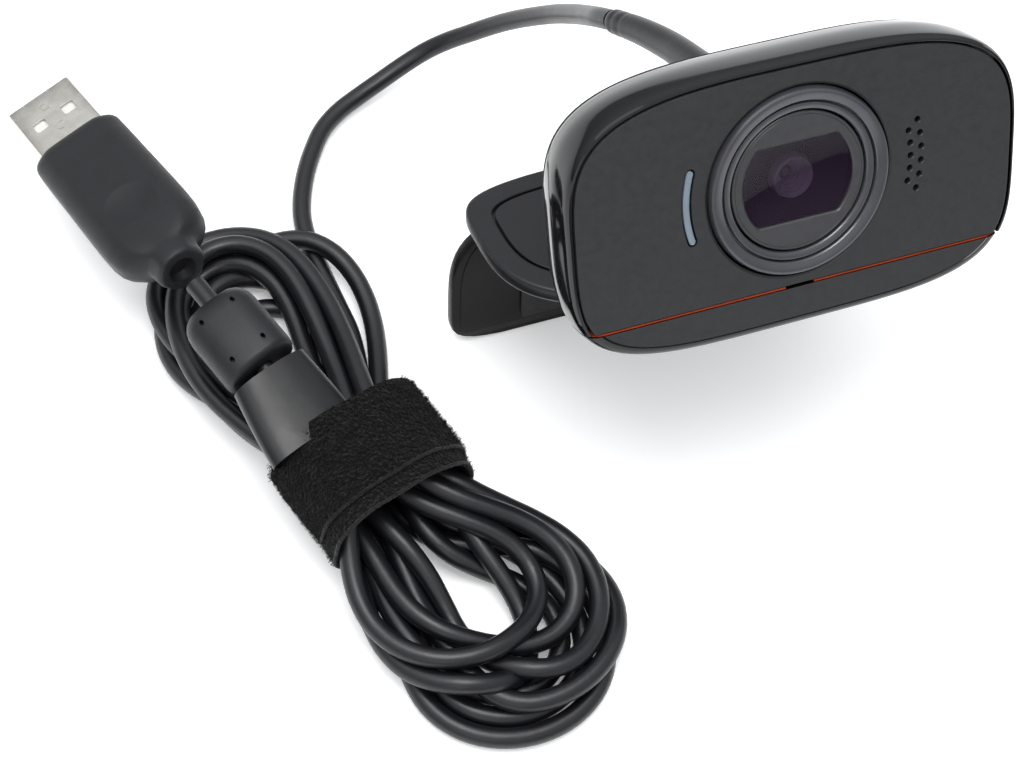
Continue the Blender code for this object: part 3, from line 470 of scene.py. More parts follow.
def wind_cord():
    """The whole cord's line: lead, turns of the hank laid on each other, and tail."""
    route = [Vector(p) for p in LEAD]
    fixed_head = len(smooth(route, 2.4)) - 5
    turns = []
    levels = len(LOWER_TURNS)
    for k in range(levels):
        low, low_mid, low_half, squeeze = LOWER_TURNS[k]
        height = 2.2 + 2.3 * k
        turns += lobe(1, low, low_mid, low_half, squeeze, 10.5 - squeeze, height)
        if k < levels - 1:
            high, high_mid, high_half, next_squeeze = UPPER_TURNS[k]
            turns += lobe(-1, high, high_mid, high_half, 10.5 - squeeze, next_squeeze, height + 1.2)
    points = smooth(route + turns + [Vector(p) for p in TAIL], 2.4)
    tail_count = len(smooth([Vector(p) for p in TAIL], 2.4))
    return relax(points, fixed_head, tail_count)


def bend(points, free, stride, share):
    """Even out the bending, over a stride of points, without pulling round turns any tighter."""
    end = len(points)
    kink = (points[:end - 4 * stride] - 4 * points[stride:end - 3 * stride]
            + 6 * points[2 * stride:end - 2 * stride] - 4 * points[3 * stride:end - stride]
            + points[4 * stride:])
    points[2 * stride:end - 2 * stride] -= share * free[2 * stride:end - 2 * stride, None] * kink


def relax(points, fixed_head, fixed_tail):
    """Let the turns lie on each other a diameter apart, on the floor and inside the tie."""
    count = len(points)
    start = points.copy()
    free = np.ones(count)
    free[:fixed_head] = 0
    free[count - fixed_tail:] = 0
    rest = np.linalg.norm(np.diff(points, axis=0), axis=1)
    index = np.arange(count)
    apart = np.abs(index[:, None] - index[None, :]) > 4
    axis, side, tie = (np.array(v) for v in (HANK_AXIS, HANK_SIDE, TIE))
    wanted = 2 * CORD_RADIUS * 1.03
    rounds = 480
    for step in range(rounds):
        late = step > rounds * 0.85
        points[:, 2] -= free * (0.0 if late else 0.08)
        points[:, :2] += free[:, None] * (start[:, :2] - points[:, :2]) * (0.0 if late else 0.02)
        bend(points, free, 3, 0.012)
        bend(points, free, 1, 0.04)
        for _ in range(3):
            gap = points[1:] - points[:-1]
            length = np.linalg.norm(gap, axis=1)
            push = ((length - rest) / length * 0.5)[:, None] * gap
            points[:-1] += push * free[:-1, None]
            points[1:] -= push * free[1:, None]
        gap = points[:, None, :] - points[None, :, :]
        far = np.sqrt((gap ** 2).sum(2)) + 1e-6
        close = apart & (far < wanted)
        weight = np.where(close, (wanted - far) / far * 0.4, 0.0)
        points += free[:, None] * (gap * weight[:, :, None]).sum(1)
        local = points - tie
        along, across = local @ axis, local @ side
        near = np.abs(along) < 10.5
        aside = (across - TIE_SHIFT) / BUNDLE_HALF_WIDTH
        above = (points[:, 2] - TIE_MIDDLE) / BUNDLE_HALF_HEIGHT
        out = (np.abs(aside) ** TIE_SQUARENESS + np.abs(above) ** TIE_SQUARENESS) ** (1 / TIE_SQUARENESS)
        pull = np.where(near & (out > 1), 1 / np.maximum(out, 1) - 1, 0.0) * free
        points += (pull * (across - TIE_SHIFT))[:, None] * side
        points[:, 2] += pull * (points[:, 2] - TIE_MIDDLE)
        points[:, 2] += free * (np.clip(points[:, 2], CORD_RADIUS + 0.05, 19.5) - points[:, 2])
    for _ in range(4):
        bend(points, free, 2, 0.03)
        bend(points, free, 1, 0.06)
    return points


def make_cord():
    line = wind_cord()
    fine = smooth([Vector(p) for p in line[::2]], 1.3) * 0.001
    curve = bpy.data.curves.new("cord", "CURVE")
    curve.dimensions = "3D"
    curve.bevel_depth = CORD_RADIUS * 0.001
    curve.bevel_resolution = 5
    curve.use_fill_caps = True
    spline = curve.splines.new("POLY")
    spline.points.add(len(fine) - 1)
    spline.points.foreach_set("co", np.hstack([fine, np.ones((len(fine), 1))]).ravel())
    spline.use_smooth = True
    curve.materials.append(CORD)
    cord = bpy.data.objects.new("cord", curve)
    bpy.context.scene.collection.objects.link(cord)
    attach(cord, "head")
    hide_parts("cord_lead", "cord_hank", "cord_tail")
    length = float(np.linalg.norm(np.diff(fine, axis=0), axis=1).sum())
    print("cord length", round(length, 4), "points", len(fine))
    return cord


cord = make_cord()


# ---------------------------------------------------------------- head

def tint(target, index, wanted, space=HEAD):
    """Give the faces that wanted() picks, by their centre and normal in millimetres, another material."""
    back = space.inverted()
    turn = back.to_3x3().normalized()
    for face in target.data.polygons:
        if wanted(back @ face.center, turn @ face.normal):
            face.material_index = index


def make_face():
    rings = [face_ring(0.0, -0.26), face_ring(0.0, -0.2), face_ring(0.06, -0.07),
             face_ring(0.2, 0.0), face_ring(1.5, 0.0)]
    plate = publish("face_panel", loft(rings), FACE, "head", replaces=["face_plate"])
    lens_bore = turned([(0, -3), (14.25, -3), (14.25, 0.0), (13.9, 0.22), (13.9, 5), (0, 5)], segments=144)
    slot = arc_slot(16.98, 0.295, 0.45 + 0.3, [(-1, 0), (3, 0)], -1)
    drill = bmesh.new()
    for radius, count in ((17.14, 5), (18.8, 6)):
        for k in range(count):
            angle = (k - (count - 1) / 2) * 0.11
            x, z = radius * math.cos(angle), radius * math.sin(angle)
            bit = turned([(0, -1), (0.55, -1), (0.55, 0.0), (0.45, 0.12), (0.45, 3), (0, 3)], (x, 0, z),
                         segments=28)
            mesh = bpy.data.meshes.new("bit")
            bit.to_mesh(mesh)
            bit.free()
            drill.from_mesh(mesh)
            bpy.data.meshes.remove(mesh)
    carve(plate, [(below(-15.2), "DIFFERENCE"), (lens_bore, "DIFFERENCE"), (slot, "DIFFERENCE"),
                  (drill, "DIFFERENCE")])


def make_rim():
    skin = [(0.32, 0.3), (0.05, 0.31), (0.0, 0.38), (0.02, 0.5)]
    skin += [tuple(p) for p in eased([(0.12, 0.66), (0.8, 0.95), (2.6, 1.12), (6.0, 1.05), (9.7, 0.35)], 4)]
    skin += [(9.95, 0.25), (10.0, 0.15), (10.0, -0.9), (1.8, -0.9), (1.8, 0.3)]
    rim = publish("rim", loft([face_ring(d, o) for d, o in skin], cyclic=True), GLOSS, "head",
                  replaces=["rim_frame"])
    carve(rim, [(below(-15.2), "DIFFERENCE")])


def make_housing():
    lining = [(16.8, -11.0), (16.2, -8.8), (14.6, -5.4), (10.3, -1.9)]
    skin = [(10.3, 0.05), (10.35, 0.15)]
    skin += [tuple(p) for p in eased([(10.5, 0.18), (12.5, -0.9), (15.0, -2.7), (16.8, -4.8),
                                      (17.8, -7.5), (18.2, -10.5)], 5)]
    shell = publish("back_shell", loft([face_ring(d, o) for d, o in lining + skin]), SATIN, "head",
                    replaces=["rear_housing"])
    tools = [(below(-15.2), "DIFFERENCE"),
             (turned([(0, 12), (2.55, 12), (2.55, 17.6), (2.9, 18.0), (2.9, 22), (0, 22)], (-6.4, 0, 12.5),
                     segments=48), "DIFFERENCE")]
    for side in (-1, 1):
        hole = [(0, 12.0), (1.15, 12.0), (1.15, 17.45), (1.95, 17.45), (1.95, 18.02), (2.1, 18.3), (2.1, 20),
                (0, 20)]
        tools.append((turned(hole, (side * 21.0, 0, -8.0), segments=40), "DIFFERENCE"))
    for k in range(5):
        x = -4.0 + 2.0 * k
        tools.append((block((x - 0.35, 17.75, -9.5), (x + 0.35, 19.0, -5.5)), "DIFFERENCE"))
    carve(shell, tools)


def window_ring(depth, grow, corner=0.9):
    """The outline of the lens window: an upright circle's sides with a level top and bottom."""
    half_height, radius = 5.8 + grow, 8.4 + grow
    inner, rise = radius - corner, half_height - corner
    swing = math.asin(rise / inner)
    outline = []
    for side in (1, -1):
        for k in range(25):
            angle = -swing + 2 * swing * k / 24
            outline.append((side * radius * math.cos(angle), side * radius * math.sin(angle)))
        centre = (side * inner * math.cos(swing), side * rise)
        for k in range(1, 7):
            turn = swing + (math.pi / 2 - swing) * k / 6
            outline.append((centre[0] + side * corner * math.cos(turn),
                            centre[1] + side * corner * math.sin(turn)))
        centre = (-centre[0], centre[1])
        for k in range(1, 7):
            turn = math.pi / 2 + (math.pi / 2 - swing) * k / 7
            outline.append((centre[0] + side * corner * math.cos(turn),
                            centre[1] + side * corner * math.sin(turn)))
    return [(x, depth, z) for x, z in outline]


def make_lens():
    ring = [(13.6, 2.6), (13.6, 0.25), (13.52, 0.0), (13.44, -0.32), (13.3, -0.52), (13.1, -0.6),
            (12.8, -0.6), (12.3, -0.45), (11.85, -0.26), (11.72, -0.12), (11.66, 0.1), (11.66, 0.7),
            (11.40, 0.7), (11.40, 0.12), (11.32, 0.0), (11.1, -0.04), (10.7, 0.05), (10.5, 0.14),
            (10.38, 0.3), (10.35, 0.6), (10.35, 2.6)]
    publish("lens_bezel", turned(ring, segments=160), RING, "head", replaces=["lens_ring"],
            sharp=24)
    disc_profile = [(0, 0.4), (9.55, 0.4), (9.6, 0.46), (9.66, 0.46), (9.7, 0.4), (9.95, 0.4), (10.05, 0.5),
                    (10.05, 1.4), (0, 1.4)]
    disc = publish("lens_surround", turned(disc_profile, segments=128), DISC, "head", replaces=["lens_disc"])
    rings = [window_ring(depth, grow) for depth, grow in ((-2.0, 0.5), (0.38, 0.22), (0.62, 0.0), (3.0, 0.0))]
    carve(disc, [(loft(rings), "DIFFERENCE")])
    pane = loft([window_ring(depth, grow) for depth, grow in ((0.86, -0.16), (0.8, -0.06), (1.3, -0.03))])
    publish("window_glass", pane, WINDOW, "head", replaces=["window_pane"])
    barrel = [(2.95, 7.9), (3.0, 7.8), (3.0, 1.95), (2.92, 1.78), (2.76, 1.72), (2.6, 1.8), (2.52, 2.0),
              (2.3, 2.15), (2.22, 2.5), (2.0, 2.62), (1.86, 3.0), (1.62, 3.12), (1.46, 3.5), (1.26, 3.62),
              (1.12, 3.95), (1.0, 4.1), (1.0, 5.2), (1.1, 5.3), (1.1, 7.9)]
    publish("lens_tube", turned(barrel, segments=72), BARREL, "focus",
            replaces=["lens_barrel"], sharp=25)
    dome = [(0, 3.75)] + [(0.98 * math.sin(a), 3.75 + 0.98 * (1 - math.cos(a)) * 0.6)
                          for a in (0.2, 0.4, 0.6, 0.8, 1.0, 1.2, 1.4, 1.57)]
    dome += [(0.98, 4.6), (0, 4.6)]
    publish("front_glass", turned(dome, segments=48), ELEMENT, "focus", replaces=["front_element"],
            sharp=50)
    levels = [(0.12, 0.1), (0.02, 0.04), (0.05, 0.0), (8.4, 0.0)]
    publish("status_light", arc_slot(16.98, 0.295, 0.45, levels, -1), LIGHT, "head", replaces=["light_pipe"],
            sharp=50)


def tapered(route, radii, sides=32, spacing=0.7):
    """A round sleeve along a smooth route, with (share, radius) pairs for its thickness."""
    centres = [Vector(p) for p in smooth([Vector(p) for p in route], spacing)]
    rings = []
    for k, centre in enumerate(centres):
        share = k / (len(centres) - 1)
        for (s0, r0), (s1, r1) in zip(radii, radii[1:]):
            if s0 <= share <= s1:
                radius = r0 + (r1 - r0) * (share - s0) / (s1 - s0)
                break
        ahead = centres[min(k + 1, len(centres) - 1)] - centres[max(k - 1, 0)]
        turn = Vector((0, 1, 0)).rotation_difference(ahead.normalized()).to_matrix()
        rings.append([centre + turn @ Vector((radius * math.cos(2 * math.pi * n / sides), 0,
                                              radius * math.sin(2 * math.pi * n / sides)))
                      for n in range(sides)])
    return loft(rings)


def make_relief():
    route = [(-6.4, 13.5, 12.5), (-6.4, 18.0, 12.5), (-6.5, 26.0, 12.5), (-7.3, 34.0, 12.4),
             (-8.5, 41.5, 12.0)]
    radii = [(0.0, 2.2), (0.3, 2.2), (0.52, 2.13), (0.82, 1.95), (0.855, 1.93), (0.86, 1.86), (0.885, 1.86),
             (0.89, 1.92), (0.925, 1.9), (0.93, 1.83), (0.95, 1.83), (0.955, 1.88), (0.985, 1.86), (1.0, 1.7)]
    publish("relief_sleeve", tapered(route, radii, spacing=0.35), CORD, "head",
            replaces=["strain_relief"], sharp=40)


# ---------------------------------------------------------------- base

def make_chin():
    skin = [(0.0, -0.62, -0.62), (0.1, -0.55, -0.55), (0.1, -0.45, -0.45), (0.0, -0.38, -0.38),
            (0.0, -0.3, -0.3)]
    skin += [tuple(p) for p in eased([(0.12, 0.1, 0.1), (0.5, 0.6, 0.6), (1.4, 0.95, 0.95), (3.0, 1.12, 1.12),
                                      (6.0, 1.05, 1.18), (10.0, 0.3, 1.1), (12.5, -0.9, 0.7),
                                      (15.0, -2.7, -0.5), (17.0, -5.0, -2.6)], 4)]
    body = publish("chin", loft([face_ring(*level) for level in skin]), [GLOSS, FACE], "base",
                   replaces=["base_strip"])
    coarse = [(0.0, -0.35, -0.35), (0.12, 0.1, 0.1), (0.5, 0.6, 0.6), (1.4, 0.95, 0.95), (3.0, 1.12, 1.12),
              (6.0, 1.05, 1.18), (10.0, 0.3, 1.1), (12.5, -0.9, 0.7), (15.0, -2.7, -0.5), (17.0, -5.0, -2.6)]

    def shrunk(wall):
        return loft([face_ring(d + wall if d < 9 else d - wall, o - wall, u - wall) for d, o, u in coarse])
    seat = shrunk(0.9)
    bmesh.ops.bisect_plane(seat, geom=seat.verts[:] + seat.edges[:] + seat.faces[:], plane_co=(0, 0, -16.6),
                           plane_no=(0, 0, -1), clear_outer=True)
    bmesh.ops.holes_fill(seat, edges=[e for e in seat.edges if e.is_boundary])
    tools = [(above(-15.75), "DIFFERENCE"), (seat, "DIFFERENCE"),
             (block((-24, 2.4, -20.0), (24, 14.6, -10)), "DIFFERENCE")]
    for side in (-1, 1):
        x0, x1 = sorted((side * 17.3, side * 22.0))
        tools.append((block((x0 + 0.25, 13.5, -22.3), (x1 - 0.25, 20.6, -19.3)), "UNION"))
        eye = turned([(0, 0), (1.65, 0), (1.8, 0.15), (1.8, 4.55), (1.65, 4.7), (0, 4.7)], (x0, 20.6, -20.6),
                     (1, 0, 0), 48)
        tools.append((eye, "UNION"))
    tools.append((rod(1.2, (-30, 20.6, -20.6), (30, 20.6, -20.6), 32), "DIFFERENCE"))
    carve(body, tools)
    tint(body, 1, lambda c, n: c.y < 0.06 and n.y < -0.9)
    plate = publish("accent", shrunk(1.2), ORANGE, "base", replaces=["accent_plate"])
    lip = shrunk(0.28)
    for height, way in ((-15.72, 1), (-15.5, -1)):
        bmesh.ops.bisect_plane(lip, geom=lip.verts[:] + lip.edges[:] + lip.faces[:], plane_co=(0, 0, height),
                               plane_no=(0, 0, -way), clear_outer=True)
        bmesh.ops.holes_fill(lip, edges=[e for e in lip.edges if e.is_boundary])
    carve(plate, [(below(-16.3), "DIFFERENCE"), (above(-15.5), "DIFFERENCE"), (lip, "UNION"),
                  (rod(4.35, (0, 9, -20), (0, 9, -10)), "DIFFERENCE"),
                  (block((-2.2, -5, -20), (2.2, 3.2, -10)), "DIFFERENCE")])


# ---------------------------------------------------------------- clip and leg

SLOPE = math.radians(16.7)
LEG_ANGLE = math.radians(-69.3)


def on_plate(across, along, up):
    c, s = math.cos(SLOPE), math.sin(SLOPE)
    return (across, 20.6 + along * c - up * s, -20.6 + along * s + up * c)


def on_leg(across, along, out):
    _, y, z = on_plate(0, 28.2, -6.2)
    c, s = math.cos(LEG_ANGLE), math.sin(LEG_ANGLE)
    return (across, y + along * c - out * s, z + along * s + out * c)


def plate_ring(up, inset, count=160):
    outline = superellipse(33.5 - inset, 31.2 - 20.5 - inset, 20.7 - inset, 4.2, 3.0, count)
    return [on_plate(x, 20.5 + u, up) for x, u in outline]


def make_clip():
    top, bottom = -1.55, -4.15
    levels = [(top, 0.55), (top - 0.08, 0.26), (top - 0.25, 0.08), (top - 0.5, 0.0), (bottom + 0.7, 0.0),
              (bottom + 0.35, 0.1), (bottom + 0.1, 0.3), (bottom, 0.6)]
    plate = publish("clip_body", loft([plate_ring(up, inset) for up, inset in levels]), [CLIP, GROOVE_PAINTED_SHADE],
                    "clip", replaces=["clip_plate"])
    _, hinge_y, hinge_z = on_plate(0, 28.2, -6.2)
    knuckle = turned([(0, 0), (1.65, 0), (1.8, 0.15), (1.8, 33.85), (1.65, 34.0), (0, 34.0)],
                     (-17.0, 20.6, -20.6), (1, 0, 0), 48)
    tools = [(knuckle, "UNION"),
             (loft([plate_ring(up, inset) for up, inset in ((top - 0.9, 3.6), (top - 0.12, 3.6), (top, 3.45),
                                                            (top + 2, 3.45))]), "DIFFERENCE")]
    for side in (-1, 1):
        x0, x1 = sorted((side * 17.3, side * 22.0))
        web = [[on_plate(x, u, n) for u, n in ((26.8, -6.2), (29.6, -6.2), (29.6, -3.0), (26.8, -3.0))]
               for x in (x0 + 0.25, x1 - 0.25)]
        tools.append((loft(web), "UNION"))
        eye = turned([(0, 0), (1.55, 0), (1.7, 0.15), (1.7, 4.55), (1.55, 4.7), (0, 4.7)],
                     (x0, hinge_y, hinge_z), (1, 0, 0), 48)
        tools.append((eye, "UNION"))
    tools.append((rod(1.2, (-30, 20.6, -20.6), (30, 20.6, -20.6), 32), "DIFFERENCE"))
    tools.append((rod(1.1, (-30, hinge_y, hinge_z), (30, hinge_y, hinge_z), 32), "DIFFERENCE"))
    carve(plate, tools)
    flat = on_plate(0, 0, top - 0.88)
    normal = Vector((0, -math.sin(SLOPE), math.cos(SLOPE)))
    # The groove floor round the inlay takes the darker material as painted shade.
    tint(plate, 1, lambda c, n: abs((c - Vector(flat)).dot(normal)) < 0.06 and n.dot(normal) > 0.9)
    pad_levels = [(top - 0.6, 4.1), (top - 0.16, 4.1), (top - 0.06, 4.2), (top - 0.05, 4.4)]
    pad = loft([plate_ring(up, inset) for up, inset in pad_levels])
    publish("clip_inlay", pad, CLIP, "clip", replaces=["clip_pad"])

    bottom_pad = []
    for up, inset in ((bottom - 0.3, 0.0), (bottom - 0.85, 0.0), (bottom - 1.0, 0.25)):
        outline = superellipse(22 - inset, 7 - inset, 7 - inset, 9, 9, 96)
        bottom_pad.append([on_plate(x, 15 + u, up) for x, u in outline])
    publish("grip_sheet", loft(bottom_pad), RUBBER, "clip", replaces=["grip_pad"])


def leg_half(along):
    if along < 18.0:
        share, square = (18.0 - along) / 20.0, 3.3
    else:
        share, square = (along - 18.0) / 9.2, 7.0
    return 34.0 * max(0.0, 1 - share ** square) ** (1 / square)


def leg_sheet(rows, near, far, edge, trim=0.0):
    rings = []
    for along in rows:
        half = leg_half(along) - trim
        bow = 1.0 * (1 - ((along - 14.0) / 14.0) ** 2)
        corner = edge * 0.3
        section = ((-half + edge, far), (half - edge, far), (half - corner, far - corner), (half, far - edge),
                   (half, near + edge), (half - corner, near + corner), (half - edge, near),
                   (-half + edge, near), (-half + corner, near + corner), (-half, near + edge),
                   (-half, far - edge), (-half + corner, far - corner))
        rings.append([on_leg(x, along, out + bow) for x, out in section])
    return loft(rings)


def make_leg():
    rows = [0.0, 1.0, 2.5, 4, 5.5, 7, 8.5, 10, 11.5, 13, 14.5, 16, 17.5, 19, 20.5, 22, 23.2, 24.3, 25.2, 25.9,
            26.4, 26.75, 27.0]
    leg = publish("leg_panel", leg_sheet(rows, -1.1, 1.1, 0.5), LEG, "leg", replaces=["clip_leg"],
                  sharp=40)
    _, y, z = on_plate(0, 28.2, -6.2)
    tools = []
    for side in (-1, 1):
        clear = [[on_leg(x, u, n) for u, n in ((-4, -4), (3.0, -4), (3.0, 4), (-4, 4))]
                 for x in sorted((side * 17.0, side * 40.0), reverse=True)]
        tools.append((loft(clear), "DIFFERENCE"))
    knuckle = turned([(0, 0), (1.55, 0), (1.7, 0.15), (1.7, 33.7), (1.55, 33.85), (0, 33.85)],
                     (-16.925, y, z), (1, 0, 0), 48)
    tools.append((knuckle, "UNION"))
    tools.append((rod(1.1, (-18, y, z), (18, y, z), 32), "DIFFERENCE"))
    carve(leg, tools, sharp=40)
    inner = [4.4, 5.5, 7, 8.5, 10, 11.5, 13, 14.5, 16, 17.5, 19, 20.5, 22, 23.2, 24.2, 25.0]
    publish("leg_inlay", leg_sheet(inner, -1.27, -1.0, 0.1, trim=1.5), LEG, "leg", sharp=40)
    pad = leg_sheet([18.0, 19.0, 20.0, 21.0, 22.0, 23.0, 24.0], -2.0, -1.4, 0.18, trim=12.0)
    publish("leg_grip", pad, RUBBER, "leg", replaces=["leg_pad"])


# ---------------------------------------------------------------- tie

def band_point(share, along, shell, start=0.0):
    """A point of the tie: share goes once round the bundle, along is across the band's width."""
    angle = 2 * math.pi * share + start
    c, s = math.cos(angle), math.sin(angle)
    reach = (abs(c) ** TIE_SQUARENESS + abs(s) ** TIE_SQUARENESS) ** (-1 / TIE_SQUARENESS)
    sag = 0.18 * math.sin(5 * angle + along * 0.3) + 0.12 * math.sin(9 * angle - along * 0.5)
    wide, tall = 12.2 + shell + sag * 0.6, 8.85 + shell + sag
    lowest = 0.34 if shell < 0.4 else 0.12
    height = max(TIE_MIDDLE + tall * s * reach, lowest)
    return hank_point(along, TIE_SHIFT + wide * c * reach, height)


def make_tie():
    """The hook-and-loop band: an inner wrap, an outer tongue laid over it and their fuzz."""
    def wrap(low, high, inner, outer, span, columns, rows, ease):
        rings = []
        for k in range(columns + 1):
            share = span[0] + (span[1] - span[0]) * k / columns
            narrow = ease(k / columns)
            ring = []
            for j in range(rows + 1):
                t = j / rows
                ring.append(band_point(share, low + (high - low) * t if narrow == 1 else
                                       (low + high) / 2 + (high - low) * (t - 0.5) * narrow, outer))
            for j in range(rows, -1, -1):
                t = j / rows
                ring.append(band_point(share, low + (high - low) * t if narrow == 1 else
                                       (low + high) / 2 + (high - low) * (t - 0.5) * narrow, inner))
            rings.append(ring)
        return rings
    whole = wrap(-8.5, 8.5, -0.1, 0.55, (0, 1), 128, 10, lambda t: 1)
    publish("tie_wrap", loft(whole[:-1], cyclic=True), LOOPS, "head", WORLD, replaces=["hank_tie"],
            sharp=60)

    def tongue(t):
        return 1.0 if t > 0.12 else max(0.45, math.sqrt(1 - (1 - t / 0.12) ** 2))
    over = wrap(-8.6, 5.6, 0.62, 1.15, (0.52, -0.12), 100, 8, tongue)
    publish("tie_tongue", loft(over), LOOPS, "head", WORLD, sharp=60)

    for name, along, shell, span in (("tie_edge_low", 8.35, 0.42, (0, 1)),
                                     ("tie_edge_high", -8.35, 0.5, (0, 1)),
                                     ("tie_edge_tongue", 5.4, 1.02, (0.49, -0.12))):
        steps = 120
        line = [band_point(span[0] + (span[1] - span[0]) * k / steps, along, shell) for k in range(steps + 1)]
        rings = []
        for k, centre in enumerate(line):
            ahead = (line[min(k + 1, steps)] - line[max(k - 1, 0)]).normalized()
            out = ahead.cross(HANK_AXIS).normalized()
            twist = 0.30 + 0.05 * math.cos(math.pi * k)
            rings.append([centre + HANK_AXIS * twist * math.cos(2 * math.pi * n / 8)
                          + out * 0.24 * math.sin(2 * math.pi * n / 8) for n in range(8)])
        publish(name, loft(rings), BINDING, "head", WORLD, sharp=60)

    chance = np.random.default_rng(7)
    bm = bmesh.new()
    for low, high, shell, span, many in ((-8.3, 8.3, 0.5, (0, 1), 5000),
                                         (-8.5, 5.3, 1.1, (0.5, -0.12), 7000)):
        for k in range(many):
            share = span[0] + (span[1] - span[0]) * chance.random()
            along = low + (high - low) * chance.random()
            root = band_point(share, along, shell)
            if root.z < 1.0:
                continue
            above = band_point(share, along, shell + 1.0)
            out = (above - root).normalized()
            lean = chance.random() * 2 * math.pi
            around = out.cross(HANK_AXIS).normalized()
            side = HANK_AXIS * math.cos(lean) + around * math.sin(lean)
            tall, spread = 0.3 + 0.55 * chance.random() ** 2, 0.3 + 0.6 * chance.random()
            across = side.cross(out) * 0.03
            steps = 5
            previous = None
            for j in range(steps + 1):
                angle = math.pi * j / steps
                spot = (root + side * spread * (0.5 - 0.5 * math.cos(angle))
                        + out * (tall * math.sin(angle) - 0.08))
                pair = (bm.verts.new(spot - across), bm.verts.new(spot + across))
                if previous:
                    bm.faces.new((previous[0], previous[1], pair[1], pair[0]))
                previous = pair
    bm.transform(WORLD)
    mesh = bpy.data.meshes.new("tie_loops")
    bm.to_mesh(mesh)
    bm.free()
    mesh.materials.append(LOOPS)
    fuzz = bpy.data.objects.new("tie_loops", mesh)
    bpy.context.scene.collection.objects.link(fuzz)
    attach(fuzz, "head")


# ---------------------------------------------------------------- pieces on the cord

def along_axis(start, end, roll=0.0):
    start, end = Vector(start), Vector(end)
    forward = (end - start).normalized()
    level = forward.cross(Vector((0, 0, 1))).normalized()
    side = level * math.cos(roll) + level.cross(forward) * math.sin(roll)
    up = side.cross(forward)
    turn = Matrix((side, up, forward)).transposed()
    return (lambda x, y, z: start + turn @ Vector((x, y, z))), (end - start).length


def make_choke():
    place, length = along_axis((-68.48, 4.58, 18.85), (-73.08, 16.98, 19.95), math.radians(16))
    rings = []
    for z, shrink in ((0.0, 1.3), (0.08, 0.85), (0.35, 0.35), (0.8, 0.08), (1.3, 0.0), (length - 3.6, 0.0),
                      (length - 2.5, 0.15), (length - 1.6, 0.5), (length - 0.9, 1.0), (length - 0.4, 1.6),
                      (length - 0.1, 2.3), (length, 2.9)):
        outline = superellipse(6.1 - shrink, 4.95 - shrink, 4.95 - shrink, 2.7, 2.7, 96)
        rings.append([place(x, y, z) for x, y in outline])
    for z in (length, 0.0):
        outline = superellipse(1.75, 1.75, 1.75, 2.0, 2.0, 96)
        rings.append([place(x, y, z) for x, y in outline])
    block_piece = publish("choke", loft(rings, cyclic=True), MOULD, "head", WORLD, replaces=["ferrite_choke"],
                          sharp=45)
    tools = []
    for x in (-2.9, 2.9):
        for z in (2.6, length - 3.0):
            outline = superellipse(0.34, 0.52, 0.52, 2.0, 2.0, 24)
            hole = loft([[place(x + a, y, z + b) for a, b in outline] for y in (3.2, 8.0)])
            tools.append((hole, "DIFFERENCE"))
    seam = loft([[place(x * 1.002, y, z) for x, z in ((-9, length * 0.5 - 0.05), (9, length * 0.5 - 0.05),
                                                      (9, length * 0.5 + 0.05), (-9, length * 0.5 + 0.05))]
                 for y in (-0.03, 0.03)])
    tools.append((seam, "DIFFERENCE"))
    carve(block_piece, tools, WORLD, sharp=45)


def make_label():
    """A film sleeve round the cord, wide and flat, that runs in under the tie."""
    place, length = along_axis((-63.3, -8.0, 16.6), (-67.8, 3.9, 18.45))
    rings = []
    for skin in (0.0, 0.22):
        levels = [0, 0.2, 0.4, 0.6, 0.8, 1.0]
        if skin:
            levels = levels[::-1]
        for t in levels:
            wide = 7.8 - 1.3 * t ** 1.5
            tall = 2.5 + 0.5 * t
            outline = superellipse(wide - skin, tall - skin, 2.3 - skin, 2.5, 2.5, 96)
            rings.append([place(x - 1.1 * (1 - t), y, t * length) for x, y in outline])
    publish("label_sleeve", loft(rings, cyclic=True), FILM, "head", WORLD, replaces=["cable_label"],
            sharp=50)


